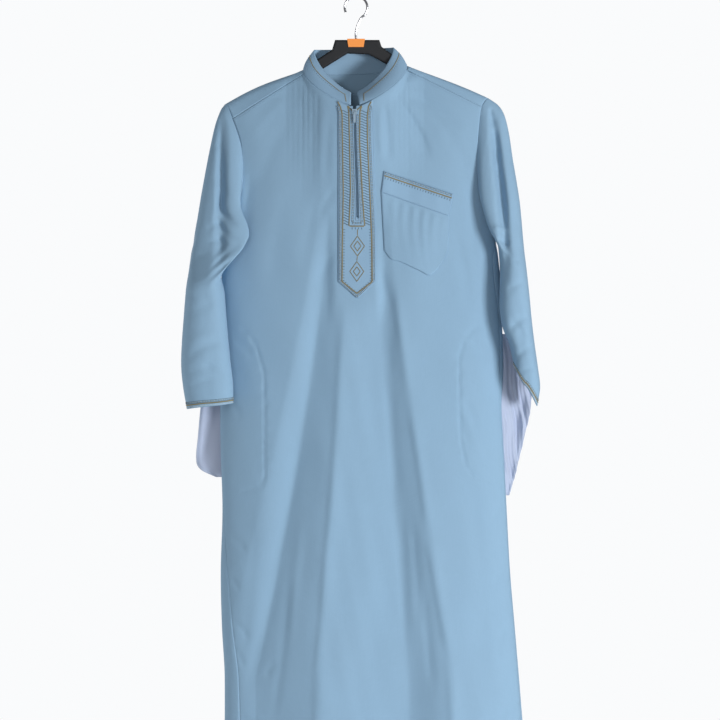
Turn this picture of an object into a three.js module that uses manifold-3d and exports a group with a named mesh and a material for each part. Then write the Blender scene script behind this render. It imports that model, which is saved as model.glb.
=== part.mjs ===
// A long-sleeved qamis robe with a stand collar, hanging on a moulded hanger.
// Millimetres, +Z up, the front faces -Y, left is -X. The origin is the inside of the hook, where it hangs.
import * as THREE from 'three';
import { mergeVertices } from 'three/addons/utils/BufferGeometryUtils.js';
import Module from 'manifold-3d';

const wasm = await Module();
wasm.setup();

// Driving sizes
const clothWall = 1.4;
const thinWall = 1.1;
const seamGap = 0.35;
const lift = 0.7;
const hemZ = -1536;
const armpitZ = -430;
const neck = { midX: -1.5, midY: -8, halfWidth: 92, halfDepth: 38, z: -124.5, frontDrop: 71, backDrop: 10.5,
  tilt: 3.5, roundness: 0.5 };
const collarTop = { midX: -3.75, midY: 0, halfWidth: 69.8, halfDepth: 24, z: -90, frontDrop: 83, backDrop: 0,
  tilt: 2, roundness: 0.5 };
const collarStart = 6.5;
const yokeStart = 80;
const zip = { halfSlit: 2, topZ: -205, endZ: -392, slitEndZ: -391, topX: -2.5, lean: 5, tapeHalf: 11 };
const placket = { left: -31.5, right: 30, lean: 4, endZ: -501, tip: 28 };
const hanger = { depth: 11, armHeight: 19, tipHeight: 13, crownTop: -75, bevel: 3.5, reach: 0.93, seat: 5.3,
  settle: 4 };
const hook = { wire: 4, innerRadius: 18, stemTop: -60, startTurn: -62, endTurn: 205 };

const cloth = { color: 0x8aaac6, roughness: 0.62, metalness: 0 };
const finishes = {
  cloth: new THREE.MeshStandardMaterial(cloth),
  lining: new THREE.MeshStandardMaterial({ ...cloth, color: 0xa8b4cb }),
  tape: new THREE.MeshStandardMaterial({ color: 0x7f9db8, roughness: 0.7, metalness: 0 }),
  metal: new THREE.MeshStandardMaterial({ color: 0xb9c2c9, roughness: 0.35, metalness: 0.9 }),
  black: new THREE.MeshStandardMaterial({ color: 0x22262c, roughness: 0.4, metalness: 0 }),
  orange: new THREE.MeshStandardMaterial({ color: 0xff9a3c, roughness: 0.45, metalness: 0 }),
};

// Body outline by height: silhouette left and right, front and back depth, seam set in from the silhouette
const bodyRows = [
  { z: -120, left: -238, right: 238, front: 13, back: 22, seamLeft: 0, seamRight: 0 },
  { z: -150, left: -238, right: 239, front: 16, back: 27, seamLeft: 0, seamRight: 0 },
  { z: -214, left: -238, right: 240, front: 27, back: 31, seamLeft: 0, seamRight: 0 },
  { z: -260, left: -231, right: 241, front: 33, back: 34, seamLeft: 0, seamRight: 0 },
  { z: -330, left: -229, right: 241, front: 38, back: 38, seamLeft: 0, seamRight: 0 },
  { z: -380, left: -230, right: 242, front: 41, back: 40, seamLeft: 0, seamRight: 0 },
  { z: -430, left: -235, right: 246, front: 44, back: 42, seamLeft: 0, seamRight: 0 },
  { z: -455, left: -236, right: 247, front: 45, back: 43, seamLeft: 0, seamRight: 9 },
  { z: -500, left: -237, right: 250, front: 47, back: 44, seamLeft: 0, seamRight: 11 },
  { z: -550, left: -238, right: 251, front: 49, back: 45, seamLeft: 0, seamRight: 6 },
  { z: -600, left: -238, right: 254, front: 50, back: 46, seamLeft: 0, seamRight: 5 },
  { z: -660, left: -239, right: 259, front: 52, back: 48, seamLeft: 0, seamRight: 6 },
  { z: -718, left: -239, right: 256, front: 54, back: 49, seamLeft: 0, seamRight: 3 },
  { z: -800, left: -238, right: 260, front: 57, back: 51, seamLeft: 0, seamRight: 1 },
  { z: -900, left: -235, right: 265, front: 60, back: 54, seamLeft: 2, seamRight: 1 },
  { z: -1010, left: -238, right: 271, front: 64, back: 57, seamLeft: 13, seamRight: 1 },
  { z: -1105, left: -236, right: 279, front: 67, back: 60, seamLeft: 19, seamRight: 1 },
  { z: -1200, left: -231, right: 287, front: 70, back: 63, seamLeft: 25, seamRight: 2 },
  { z: -1536, left: -234, right: 314, front: 80, back: 72, seamLeft: 34, seamRight: 4 },
];

// Armhole edges of the front and back panels by height
const armholeRows = {
  left: [
    { z: -190, front: -226, back: -231 }, { z: -214, front: -217.5, back: -229 },
    { z: -235, front: -209.5, back: -223 }, { z: -260, front: -202.5, back: -217 },
    { z: -316, front: -201, back: -212 }, { z: -351, front: -205, back: -214 },
    { z: -379, front: -212, back: -219 }, { z: -407, front: -222, back: -227 },
    { z: -430, front: -235, back: -235 },
  ],
  right: [
    { z: -180, front: 228, back: 233 }, { z: -193, front: 221, back: 231 },
    { z: -228, front: 216.6, back: 225 }, { z: -269, front: 214.5, back: 221 },
    { z: -317, front: 216, back: 221 }, { z: -351, front: 219, back: 224 },
    { z: -375, front: 225.6, back: 229 }, { z: -401, front: 234.5, back: 237 },
    { z: -430, front: 246, back: 246 },
  ],
};
const shoulders = {
  left: { sign: -1, frontZ: -214, backZ: -228, tipX: -231, tipZ: -189, crown: 6 },
  right: { sign: 1, frontZ: -193, backZ: -212, tipX: 235, tipZ: -180, crown: 3 },
};

// Folds: a trough whose bottom runs from top to low and straight down from there, wide to each side at low
const frontFolds = [
  { name: 'left trough', topX: -48, topZ: -380, lowX: -176, lowZ: -1198, bend: 1.35, depth: 20, leftWide: 72,
    rightWide: 102 },
  { name: 'right trough', topX: 36, topZ: -380, lowX: 93, lowZ: -1198, bend: 1.3, depth: 22, leftWide: 155,
    rightWide: 80 },
];
const backFolds = [
  { name: 'left trough', topX: -70, topZ: -300, lowX: -134, lowZ: -1198, bend: 1.2, depth: 22, leftWide: 52,
    rightWide: 70 },
  { name: 'middle trough', topX: 6, topZ: -260, lowX: 24, lowZ: -1198, bend: 1.2, depth: 18, leftWide: 80,
    rightWide: 60 },
  { name: 'right trough', topX: 84, topZ: -300, lowX: 176, lowZ: -1198, bend: 1.2, depth: 22, leftWide: 88,
    rightWide: 52 },
];

// Sleeves, a row for each section. seamZ is the height of its inner ends, outX and outZ its outer edge, inX
// its inner edge, depth its half depth, close how far it is closed to a tube, lap how far it laps over the
// front, groove and grooveX the long front fold.
const sleeveRows = {
  left: [
    { seamZ: -222, outX: -239, outZ: -200, inX: -217, depth: 14, midY: 0, close: 0, lap: 0, groove: 0,
      grooveX: -236 },
    { seamZ: -238, outX: -248, outZ: -224, inX: -209, depth: 19, midY: -1, close: 0.05, lap: 0, groove: 4,
      grooveX: -236 },
    { seamZ: -262, outX: -256, outZ: -262, inX: -203, depth: 25, midY: -2, close: 0.15, lap: 2, groove: 8,
      grooveX: -236 },
    { seamZ: -295, outX: -264, outZ: -302, inX: -202, depth: 31, midY: -4, close: 0.3, lap: 4, groove: 12,
      grooveX: -236 },
    { seamZ: -330, outX: -271, outZ: -342, inX: -204, depth: 36, midY: -6, close: 0.42, lap: 6, groove: 14,
      grooveX: -236 },
    { seamZ: -365, outX: -277.5, outZ: -382, inX: -209, depth: 40, midY: -8, close: 0.55, lap: 12, groove: 16,
      grooveX: -236 },
    { seamZ: -395, outX: -283, outZ: -412, inX: -218, depth: 43, midY: -10, close: 0.7, lap: 34, groove: 17,
      grooveX: -236 },
    { seamZ: -416, outX: -286, outZ: -434, inX: -228, depth: 45, midY: -12, close: 0.85, lap: 50, groove: 18,
      grooveX: -236 },
    { seamZ: -432, outX: -289, outZ: -448, inX: -237, depth: 46, midY: -14, close: 1, lap: 62, groove: 18,
      grooveX: -236 },
    { seamZ: -452, outX: -291.5, outZ: -468, inX: -239.5, depth: 46, midY: -22, close: 1, lap: 62, groove: 16,
      grooveX: -236 },
    { seamZ: -472, outX: -294, outZ: -488, inX: -240, depth: 45, midY: -32, close: 1, lap: 38, groove: 10,
      grooveX: -236 },
    { seamZ: -495, outX: -297, outZ: -508, inX: -236, depth: 44, midY: -42, close: 1, lap: 8, groove: 5,
      grooveX: -236 },
    { seamZ: -520, outX: -299, outZ: -528, inX: -230, depth: 43, midY: -46, close: 1, lap: 0, groove: 1,
      grooveX: -236 },
    { seamZ: -560, outX: -302, outZ: -564, inX: -227, depth: 42, midY: -49, close: 1, lap: 0, groove: 0,
      grooveX: -236 },
    { seamZ: -605, outX: -305, outZ: -607, inX: -223, depth: 41, midY: -51, close: 1, lap: 0, groove: 0,
      grooveX: -236 },
    { seamZ: -645, outX: -306, outZ: -648, inX: -219, depth: 40, midY: -52, close: 1, lap: 0, groove: 0,
      grooveX: -236 },
    { seamZ: -680, outX: -302.5, outZ: -686, inX: -215, depth: 39, midY: -52, close: 1, lap: 0, groove: 0,
      grooveX: -236 },
    { seamZ: -714, outX: -296, outZ: -724, inX: -215, depth: 38, midY: -52, close: 1, lap: 0, groove: 0,
      grooveX: -236 },
  ],
  right: [
    { seamZ: -203, outX: 250, outZ: -189, inX: 220, depth: 14, midY: 0, close: 0, lap: 0, groove: 0,
      grooveX: 241 },
    { seamZ: -220, outX: 261, outZ: -207, inX: 217, depth: 19, midY: -1, close: 0.05, lap: 0, groove: 4,
      grooveX: 241 },
    { seamZ: -248, outX: 269, outZ: -240, inX: 215, depth: 25, midY: -2, close: 0.15, lap: 0, groove: 9,
      grooveX: 243 },
    { seamZ: -280, outX: 275, outZ: -282, inX: 214.7, depth: 31, midY: -3, close: 0.3, lap: 2, groove: 13,
      grooveX: 247 },
    { seamZ: -315, outX: 281, outZ: -318, inX: 216, depth: 36, midY: -5, close: 0.42, lap: 3, groove: 14,
      grooveX: 251 },
    { seamZ: -350, outX: 287, outZ: -356, inX: 219, depth: 40, midY: -7, close: 0.55, lap: 4, groove: 15,
      grooveX: 255 },
    { seamZ: -380, outX: 290.5, outZ: -390, inX: 227, depth: 42, midY: -9, close: 0.7, lap: 6, groove: 14,
      grooveX: 258 },
    { seamZ: -405, outX: 293, outZ: -420, inX: 236, depth: 43, midY: -12, close: 0.85, lap: 8, groove: 12,
      grooveX: 260 },
    { seamZ: -432, outX: 295.5, outZ: -447, inX: 248, depth: 43, midY: -14, close: 1, lap: 8, groove: 8,
      grooveX: 262 },
    { seamZ: -452, outX: 298, outZ: -468, inX: 254, depth: 42, midY: -18, close: 1, lap: 2, groove: 5,
      grooveX: 262 },
    { seamZ: -480, outX: 301, outZ: -495, inX: 256, depth: 41, midY: -22, close: 1, lap: 0, groove: 3,
      grooveX: 262 },
    { seamZ: -515, outX: 304.5, outZ: -530, inX: 257.5, depth: 39, midY: -25, close: 1, lap: 0, groove: 0,
      grooveX: 262 },
    { seamZ: -548, outX: 308, outZ: -570, inX: 259, depth: 37, midY: -27, close: 1, lap: 0, groove: 0,
      grooveX: 262 },
    { seamZ: -580, outX: 313, outZ: -612, inX: 262, depth: 35, midY: -28, close: 1, lap: 0, groove: 0,
      grooveX: 262 },
    { seamZ: -608, outX: 319, outZ: -652, inX: 268, depth: 33, midY: -28, close: 1, lap: 0, groove: 0,
      grooveX: 262 },
    { seamZ: -630, outX: 323, outZ: -686, inX: 273, depth: 31, midY: -28, close: 1, lap: 0, groove: 0,
      grooveX: 262 },
    { seamZ: -648, outX: 318, outZ: -719, inX: 277, depth: 29, midY: -28, close: 1, lap: 0, groove: 0,
      grooveX: 262 },
  ],
};

// Pocket bags: the outer edge by height, and how far the bag stands back from the side seam
const bagRows = {
  left: [
    { z: -600, outX: -250, backY: 6 }, { z: -660, outX: -266, backY: 9 }, { z: -725, outX: -274, backY: 10 },
    { z: -776, outX: -278.6, backY: 9 }, { z: -818, outX: -281, backY: 8 }, { z: -832, outX: -272, backY: 7 },
    { z: -844, outX: -247, backY: 6 },
  ],
  right: [
    { z: -592, outX: 266, backY: 20 }, { z: -630, outX: 296, backY: 26 }, { z: -680, outX: 308, backY: 27 },
    { z: -720, outX: 308, backY: 24 }, { z: -776, outX: 296, backY: 17 }, { z: -813, outX: 287, backY: 13 },
    { z: -845, outX: 279, backY: 10 }, { z: -876, outX: 270, backY: 8 },
  ],
};

// Hanger outline between the arms, from the crown outwards
const hangerRows = {
  left: [{ x: -37, top: -75, lowX: -15, low: -99 }, { x: -42, top: -92, lowX: -36, low: -112 },
    { x: -70, top: -110.5, lowX: -60.4, low: -127 }, { x: -83, top: -132, lowX: -83, low: -150 }],
  right: [{ x: 41, top: -75, lowX: 21, low: -100.5 }, { x: 45, top: -87, lowX: 38, low: -109 },
    { x: 64, top: -101, lowX: 55.3, low: -119 }, { x: 80, top: -125.5, lowX: 80, low: -144 }],
};

// Chest pocket corners and the lower edge of its pouch, from left to right
const pocketBand = { topLeft: [48.7, -306.9], topRight: [171.5, -346.8], lowLeft: [43.8, -344],
  lowRight: [162.8, -386] };
const pouchEdge = [
  { across: 0, x: 49, z: -446 }, { across: 0.12, x: 61, z: -461 }, { across: 0.28, x: 78, z: -466 },
  { across: 0.55, x: 112, z: -482 }, { across: 0.75, x: 131, z: -489 }, { across: 0.9, x: 150, z: -468 },
  { across: 1, x: 161.7, z: -443 },
];

// Number helpers
const mix = (a, b, t) => a + (b - a) * t;
const clamp = (value, low, high) => Math.min(high, Math.max(low, value));
const smooth = (from, to, value) => {
  const t = clamp((value - from) / (to - from), 0, 1);
  return t * t * (3 - 2 * t);
};
const radians = THREE.MathUtils.degToRad;

// A column of a table at a place along its key, as a smooth curve through the rows
function along(table, key, column, place) {
  const last = table.length - 1;
  const way = Math.sign(table[last][key] - table[0][key]);
  const at = clamp(way * place, way * table[0][key], way * table[last][key]) * way;
  let i = 0;
  while (i < last - 1 && way * table[i + 1][key] < way * at) i += 1;
  const slope = (k) => {
    const low = Math.max(0, k - 1);
    const high = Math.min(last, k + 1);
    return (table[high][column] - table[low][column]) / (table[high][key] - table[low][key]);
  };
  const span = table[i + 1][key] - table[i][key];
  const t = (at - table[i][key]) / span;
  const t2 = t * t;
  const t3 = t2 * t;
  return (2 * t3 - 3 * t2 + 1) * table[i][column] + (t3 - 2 * t2 + t) * span * slope(i)
    + (3 * t2 - 2 * t3) * table[i + 1][column] + (t3 - t2) * span * slope(i + 1);
}

// The depth that the folds give at x, z: a squared-cosine hollow, wider on one side than on the other
function foldDepth(folds, x, z) {
  let depth = 0;
  const held = (1 - smooth(34, 52, Math.abs(x))) * (1 - smooth(0, 70, placket.endZ - 20 - z));
  const free = folds === frontFolds ? 1 - held : 1;
  for (const fold of folds) {
    const grown = clamp((fold.topZ - z) / (fold.topZ - fold.lowZ), 0, 1);
    if (grown <= 0) continue;
    const middle = fold.topX + (fold.lowX - fold.topX) * grown ** fold.bend;
    const away = x - middle;
    const wide = (away < 0 ? fold.leftWide : fold.rightWide) * (0.25 + 0.75 * grown);
    if (Math.abs(away) >= wide) continue;
    depth += free * fold.depth * grown ** 0.6 * Math.cos(away / wide * Math.PI / 2) ** 2;
  }
  return depth;
}

// How far across the body x lies, from -1 at the left silhouette to 1 at the right
function across(x, z) {
  const left = along(bodyRows, 'z', 'left', z);
  const right = along(bodyRows, 'z', 'right', z);
  return clamp((2 * x - left - right) / (right - left), -1, 1);
}

const flatness = 2.4;
const roundOff = (q) => Math.sqrt(Math.max(0, 1 - Math.abs(q) ** flatness));

// The seam loop of the neck, or the collar's top edge: 0 degrees is the front, 180 the back
function neckPoint(loop, degrees, side) {
  const c = Math.cos(radians(degrees));
  const s = Math.sin(radians(degrees));
  const drop = c > 0 ? loop.frontDrop * mix(c, 1 - s, loop.roundness) : loop.backDrop * -c;
  const x = side * loop.halfWidth * s;
  const z = loop.z - drop + loop.tilt * side * s;
  return new THREE.Vector3(loop.midX + x, loop.midY - loop.halfDepth * c, z);
}

// Front surface: the body's depth, the throw forward to the neck seam, and the folds
function frontY(x, z) {
  const base = (height) => -along(bodyRows, 'z', 'front', height) * roundOff(across(x, height));
  const s = clamp(Math.abs(x - neck.midX) / neck.halfWidth, 0, 1);
  const c = Math.sqrt(1 - s * s);
  const seamZ = neck.z - neck.frontDrop * mix(c, 1 - s, neck.roundness);
  const away = Math.max(0, Math.abs(x - neck.midX) - neck.halfWidth);
  const throwForward = (neck.midY - neck.halfDepth * c - base(seamZ)) * Math.exp(-away / 30);
  const folds = foldDepth(frontFolds, x, z) * roundOff(across(x, z));
  return base(z) + throwForward * (1 - smooth(0, 240, seamZ - z)) + folds;
}

function backY(x, z) {
  return (along(bodyRows, 'z', 'back', z) - foldDepth(backFolds, x, z)) * roundOff(across(x, z));
}

const yokeBackZ = (x) => {
  const side = x < 0 ? shoulders.left : shoulders.right;
  const edge = along(armholeRows[x < 0 ? 'left' : 'right'], 'z', 'back', side.backZ);
  return mix(-168, side.backZ, clamp(x / edge, 0, 1) ** 1.3);
};
const slitX = (z) => zip.topX + zip.lean * smooth(-200, zip.slitEndZ, z);

// Corner of the yoke with the front or back panel and the sleeve, and the arc over the shoulder tip
function armholeCorner(name, face) {
  const z = shoulders[name][`${face}Z`];
  const x = along(armholeRows[name], 'z', face, z);
  return new THREE.Vector3(x, face === 'front' ? frontY(x, z) : backY(x, z), z);
}

function shoulderArc(name, t) {
  const front = armholeCorner(name, 'front');
  const back = armholeCorner(name, 'back');
  const tip = new THREE.Vector3(shoulders[name].tipX, 0, shoulders[name].tipZ);
  const c = Math.cos(Math.PI * t);
  const s = Math.sin(Math.PI * t);
  const middle = front.clone().add(back).multiplyScalar(0.5);
  const point = front.clone().multiplyScalar((1 + c) / 2).addScaledVector(back, (1 - c) / 2);
  return point.addScaledVector(tip.sub(middle), s);
}

function shoulderNormal(name, t) {
  const { sign } = shoulders[name];
  const [c, s] = [Math.cos(Math.PI * t), Math.sin(Math.PI * t)];
  return new THREE.Vector3(0.55 * sign * s, -c, 0.84 * s).normalize();
}

// Seams at the armhole: the height of each row's end on the front and back panels, and the mean share
function seamHeight(name, face, i) {
  const side = shoulders[name];
  const rows = sleeveRows[name].filter((row) => row.seamZ > armpitZ);
  if (i === 0) return side[`${face}Z`];
  if (i > rows.length) return armpitZ;
  const share = (side.frontZ - rows[i - 1].seamZ) / (side.frontZ - armpitZ);
  return mix(side[`${face}Z`], armpitZ, share);
}

const seamRows = sleeveRows.left.filter((row) => row.seamZ > armpitZ).length + 1;
function seamShare(i) {
  const share = (name) => (shoulders[name].frontZ - seamHeight(name, 'front', i))
    / (shoulders[name].frontZ - armpitZ);
  return (share('left') + share('right')) / 2;
}

// A closed wall on a grid of outer points. keep says which cells are there, thickness how far the inner
// face lies below the outer one, and normal may give the direction of the wall at a seam.
function clothWallOn({ rows, columns, point, thickness, keep = () => true, normal = () => null }) {
  const outer = [];
  for (let i = 0; i <= rows; i += 1) {
    for (let j = 0; j <= columns; j += 1) outer.push(point(i, j));
  }
  const at = (i, j) => outer[clamp(i, 0, rows) * (columns + 1) + clamp(j, 0, columns)];
  const inner = [];
  for (let i = 0; i <= rows; i += 1) {
    for (let j = 0; j <= columns; j += 1) {
      const down = at(i + 1, j).clone().sub(at(i - 1, j));
      const over = at(i, j + 1).clone().sub(at(i, j - 1));
      const out = normal(i, j) ?? down.cross(over).normalize();
      const depth = typeof thickness === 'function' ? thickness(i, j) : thickness;
      inner.push(at(i, j).clone().addScaledVector(out, -depth));
    }
  }
  const position = [...outer, ...inner].flatMap((p) => [p.x, p.y, p.z]);
  const offset = outer.length;
  const index = [];
  const cell = (i, j) => i >= 0 && j >= 0 && i < rows && j < columns && keep(i, j);
  const side = (a, b) => index.push(a, b, b + offset, a, b + offset, a + offset);
  for (let i = 0; i < rows; i += 1) {
    for (let j = 0; j < columns; j += 1) {
      if (!cell(i, j)) continue;
      const a = i * (columns + 1) + j;
      const b = a + 1;
      const c = a + columns + 2;
      const d = a + columns + 1;
      index.push(a, d, c, a, c, b);
      index.push(a + offset, c + offset, d + offset, a + offset, b + offset, c + offset);
      if (!cell(i - 1, j)) side(a, b);
      if (!cell(i + 1, j)) side(c, d);
      if (!cell(i, j - 1)) side(d, a);
      if (!cell(i, j + 1)) side(b, c);
    }
  }
  return closed(position, index);
}

// Geometry from points and faces, without unused points and with its faces pointing out
function closed(position, index) {
  const used = new Map();
  const packed = [];
  const faces = index.map((k) => {
    if (!used.has(k)) {
      used.set(k, packed.length / 3);
      packed.push(position[3 * k], position[3 * k + 1], position[3 * k + 2]);
    }
    return used.get(k);
  });
  const corner = (k) => new THREE.Vector3().fromArray(packed, 3 * faces[k]);
  let volume = 0;
  for (let k = 0; k < faces.length; k += 3) volume += corner(k).dot(corner(k + 1).cross(corner(k + 2)));
  if (volume < 0) faces.reverse();
  const geometry = new THREE.BufferGeometry();
  geometry.setAttribute('position', new THREE.Float32BufferAttribute(packed, 3));
  geometry.setIndex(faces);
  geometry.computeVertexNormals();
  return geometry;
}

// Closed solids joined into one, and one cut from another
function solidOf(geometry) {
  const bare = geometry.clone();
  bare.deleteAttribute('normal');
  bare.deleteAttribute('uv');
  const merged = mergeVertices(bare, 1e-3);
  return new wasm.Manifold(new wasm.Mesh({
    numProp: 3,
    vertProperties: new Float32Array(merged.attributes.position.array),
    triVerts: new Uint32Array(merged.index.array),
  }));
}

function geometryOf(solid) {
  const mesh = solid.getMesh();
  return closed(Array.from(mesh.vertProperties), Array.from(mesh.triVerts));
}

const join = (...geometries) => geometryOf(geometries.map(solidOf).reduce((a, b) => a.add(b)));
const cut = (body, ...tools) => geometryOf(tools.map(solidOf).reduce((a, b) => a.subtract(b), solidOf(body)));

const group = new THREE.Group();
function piece(name, geometry, finish) {
  const mesh = new THREE.Mesh(geometry, finish);
  mesh.name = name;
  group.add(mesh);
}

// Front panel: the rows run from the yoke seams and the neck seam down to the hem
const front = { seamColumns: 6, neckColumns: 7, upRows: seamRows, lowRows: 17, slitRows: seamRows - 2,
  cluster: 1.35 };
front.half = front.seamColumns + front.neckColumns;
front.columns = 2 * front.half + 1;
front.rows = front.upRows + front.lowRows;

// The top edge of one half, from the armhole corner to the slit
function frontTop(name, k) {
  const side = shoulders[name].sign;
  if (k >= front.half) {
    return new THREE.Vector3(slitX(zip.topZ) + side * zip.halfSlit, 0, zip.topZ);
  }
  const neckCorner = neckPoint(neck, yokeStart, side);
  if (k <= front.seamColumns) {
    const t = k / front.seamColumns;
    return armholeCorner(name, 'front').lerp(neckCorner, t);
  }
  const t = (k - front.seamColumns) / (front.neckColumns - 1);
  return neckPoint(neck, mix(yokeStart, collarStart, t), side);
}

function frontXZ(i, j) {
  const name = j <= front.half ? 'left' : 'right';
  const side = shoulders[name].sign;
  const k = j <= front.half ? j : front.columns - j;
  const spread = (z) => {
    const rows = bodyRows;
    const edge = name === 'left'
      ? along(rows, 'z', 'left', z) + along(rows, 'z', 'seamLeft', z) + seamGap
      : along(rows, 'z', 'right', z) - along(rows, 'z', 'seamRight', z) - seamGap;
    return mix(edge, slitX(z) + side * zip.halfSlit, (k / front.half) ** front.cluster);
  };
  if (i >= front.upRows) {
    const t = (i - front.upRows) / front.lowRows;
    const z = mix(armpitZ, hemZ, t ** 1.08);
    return [spread(z), z];
  }
  const v = seamShare(i);
  const top = frontTop(name, k);
  const corner = frontTop(name, 0);
  const inner = frontTop(name, front.half);
  const h = (k / front.half);
  const lowX = spread(armpitZ);
  const edgeZ = seamHeight(name, 'front', i);
  const edgeX = along(armholeRows[name], 'z', 'front', edgeZ);
  const innerX = slitX(mix(inner.z, armpitZ, v)) + side * zip.halfSlit;
  const armpitX = along(armholeRows[name], 'z', 'front', armpitZ);
  const bottomX = mix(armpitX, slitX(armpitZ) + side * zip.halfSlit, h);
  const x = mix(top.x, lowX, v) + mix(edgeX, innerX, h)
    - mix(mix(corner.x, inner.x, h), bottomX, v);
  const z = mix(top.z, armpitZ, v) + mix(edgeZ, mix(inner.z, armpitZ, v), h)
    - mix(mix(corner.z, inner.z, h), armpitZ, v);
  const nearSeam = (1 - v) ** 6;
  return [x, z - seamGap * nearSeam];
}

function frontPoint(i, j) {
  const [x, z] = frontXZ(i, j);
  return new THREE.Vector3(x, frontY(x, z), z);
}

piece('front_panel', clothWallOn({
  rows: front.rows,
  columns: front.columns,
  point: frontPoint,
  thickness: clothWall,
  keep: (i, j) => j !== front.half || i >= front.slitRows,
}), finishes.cloth);

// Back panel: the rows run from the yoke seam to the hem, the lower ones round to the front at the sides
const back = { columns: 24, upRows: seamRows, lowRows: front.lowRows };
back.rows = back.upRows + back.lowRows;

function backTurn(z, t) {
  const left = along(bodyRows, 'z', 'left', z);
  const right = along(bodyRows, 'z', 'right', z);
  const half = (right - left) / 2;
  const turn = (inset) => Math.acos(clamp((1 - inset / half) ** (flatness / 2), -1, 1));
  const start = -turn(along(bodyRows, 'z', 'seamLeft', z));
  const end = Math.PI + turn(along(bodyRows, 'z', 'seamRight', z));
  const angle = mix(start, end, t);
  const c = Math.cos(angle);
  const x = (left + right) / 2 - half * Math.sign(c) * Math.abs(c) ** (2 / flatness);
  return { x, onFront: Math.sin(angle) < 0 };
}

function backPoint(i, j) {
  const t = j / back.columns;
  if (i >= back.upRows) {
    const z = mix(armpitZ, hemZ, ((i - back.upRows) / back.lowRows) ** 1.08);
    const { x, onFront } = backTurn(z, t);
    const y = onFront ? frontY(x, z) : backY(x, z);
    return new THREE.Vector3(x, y + (j === 0 || j === back.columns ? seamGap : 0), z);
  }
  const v = seamShare(i);
  const low = { x: backTurn(armpitZ, t).x, z: armpitZ };
  const edge = (name) => {
    const z = seamHeight(name, 'back', i);
    return { x: along(armholeRows[name], 'z', 'back', z), z };
  };
  const topX = t < 0.5
    ? mix(armholeCorner('left', 'back').x, 0, 2 * t)
    : mix(0, armholeCorner('right', 'back').x, 2 * t - 1);
  const top = { x: topX, z: yokeBackZ(topX) };
  const [left, right] = [edge('left'), edge('right')];
  const coons = (axis) => {
    const a = axis === 'x' ? armholeCorner('left', 'back').x : shoulders.left.backZ;
    const b = axis === 'x' ? armholeCorner('right', 'back').x : shoulders.right.backZ;
    const c = axis === 'x' ? backTurn(armpitZ, 0).x : armpitZ;
    const d = axis === 'x' ? backTurn(armpitZ, 1).x : armpitZ;
    return mix(top[axis], low[axis], v) + mix(left[axis], right[axis], t)
      - mix(mix(a, b, t), mix(c, d, t), v);
  };
  const x = coons('x');
  const z = coons('z') - seamGap * (1 - v) ** 6;
  return new THREE.Vector3(x, Math.max(backY(x, z), seamGap / 2), z);
}

piece('back_panel', clothWallOn({
  rows: back.rows,
  columns: back.columns,
  point: (i, j) => backPoint(i, back.columns - j),
  thickness: clothWall,
  normal: (i) => (i === 0 ? new THREE.Vector3(0, 1, 0) : null),
}), finishes.cloth);

// Yoke: columns run round the neck from the left front seam to the right one, rows from neck to outer edge
const yoke = { shoulderColumns: 8, backColumns: back.columns, rows: 5, backTurn: 122 };
yoke.columns = 2 * yoke.shoulderColumns + yoke.backColumns;

function yokePoint(i, j) {
  const name = j <= yoke.columns / 2 ? 'left' : 'right';
  const { sign, crown } = shoulders[name];
  const k = j <= yoke.columns / 2 ? j : yoke.columns - j;
  const r = i / yoke.rows;
  const neckTurn = k <= yoke.shoulderColumns
    ? mix(yokeStart, yoke.backTurn, k / yoke.shoulderColumns)
    : mix(yoke.backTurn, 180, (k - yoke.shoulderColumns) / (yoke.backColumns / 2));
  const inner = neckPoint(neck, neckTurn, sign);
  inner.x += sign * seamGap * Math.abs(Math.sin(radians(neckTurn)));
  inner.y -= seamGap * Math.cos(radians(neckTurn));
  let outer;
  if (k <= yoke.shoulderColumns) {
    outer = shoulderArc(name, k / yoke.shoulderColumns);
  } else {
    const x = mix(armholeCorner(name, 'back').x, 0, (k - yoke.shoulderColumns) / (yoke.backColumns / 2));
    outer = new THREE.Vector3(x, backY(x, yokeBackZ(x)), yokeBackZ(x));
  }
  const point = inner.clone().lerp(outer, r);
  const ridge = Math.sin(Math.PI * clamp(k / yoke.shoulderColumns, 0, 1));
  point.z += crown * ridge * Math.sin(Math.PI * r ** 1.3);
  const frontPart = Math.max(0, 1 - k / 3) ** 2;
  if (frontPart > 0) point.y = mix(point.y, frontY(point.x, point.z), frontPart * smooth(0, 0.2, r));
  return point;
}

piece('yoke', clothWallOn({
  rows: yoke.rows,
  columns: yoke.columns,
  point: (i, j) => yokePoint(i, yoke.columns - j),
  thickness: clothWall,
  normal: (i, j) => {
    const k = j <= yoke.columns / 2 ? j : yoke.columns - j;
    const name = j <= yoke.columns / 2 ? 'right' : 'left';
    if (k === 0) return new THREE.Vector3(0, -1, 0);
    if (i === yoke.rows && k > yoke.shoulderColumns) return new THREE.Vector3(0, 1, 0);
    return i === yoke.rows ? shoulderNormal(name, k / yoke.shoulderColumns) : null;
  },
}), finishes.cloth);

// Stand collar: from one front end round the back to the other, leaning in
const collar = { columns: 32, rows: 3 };

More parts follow.
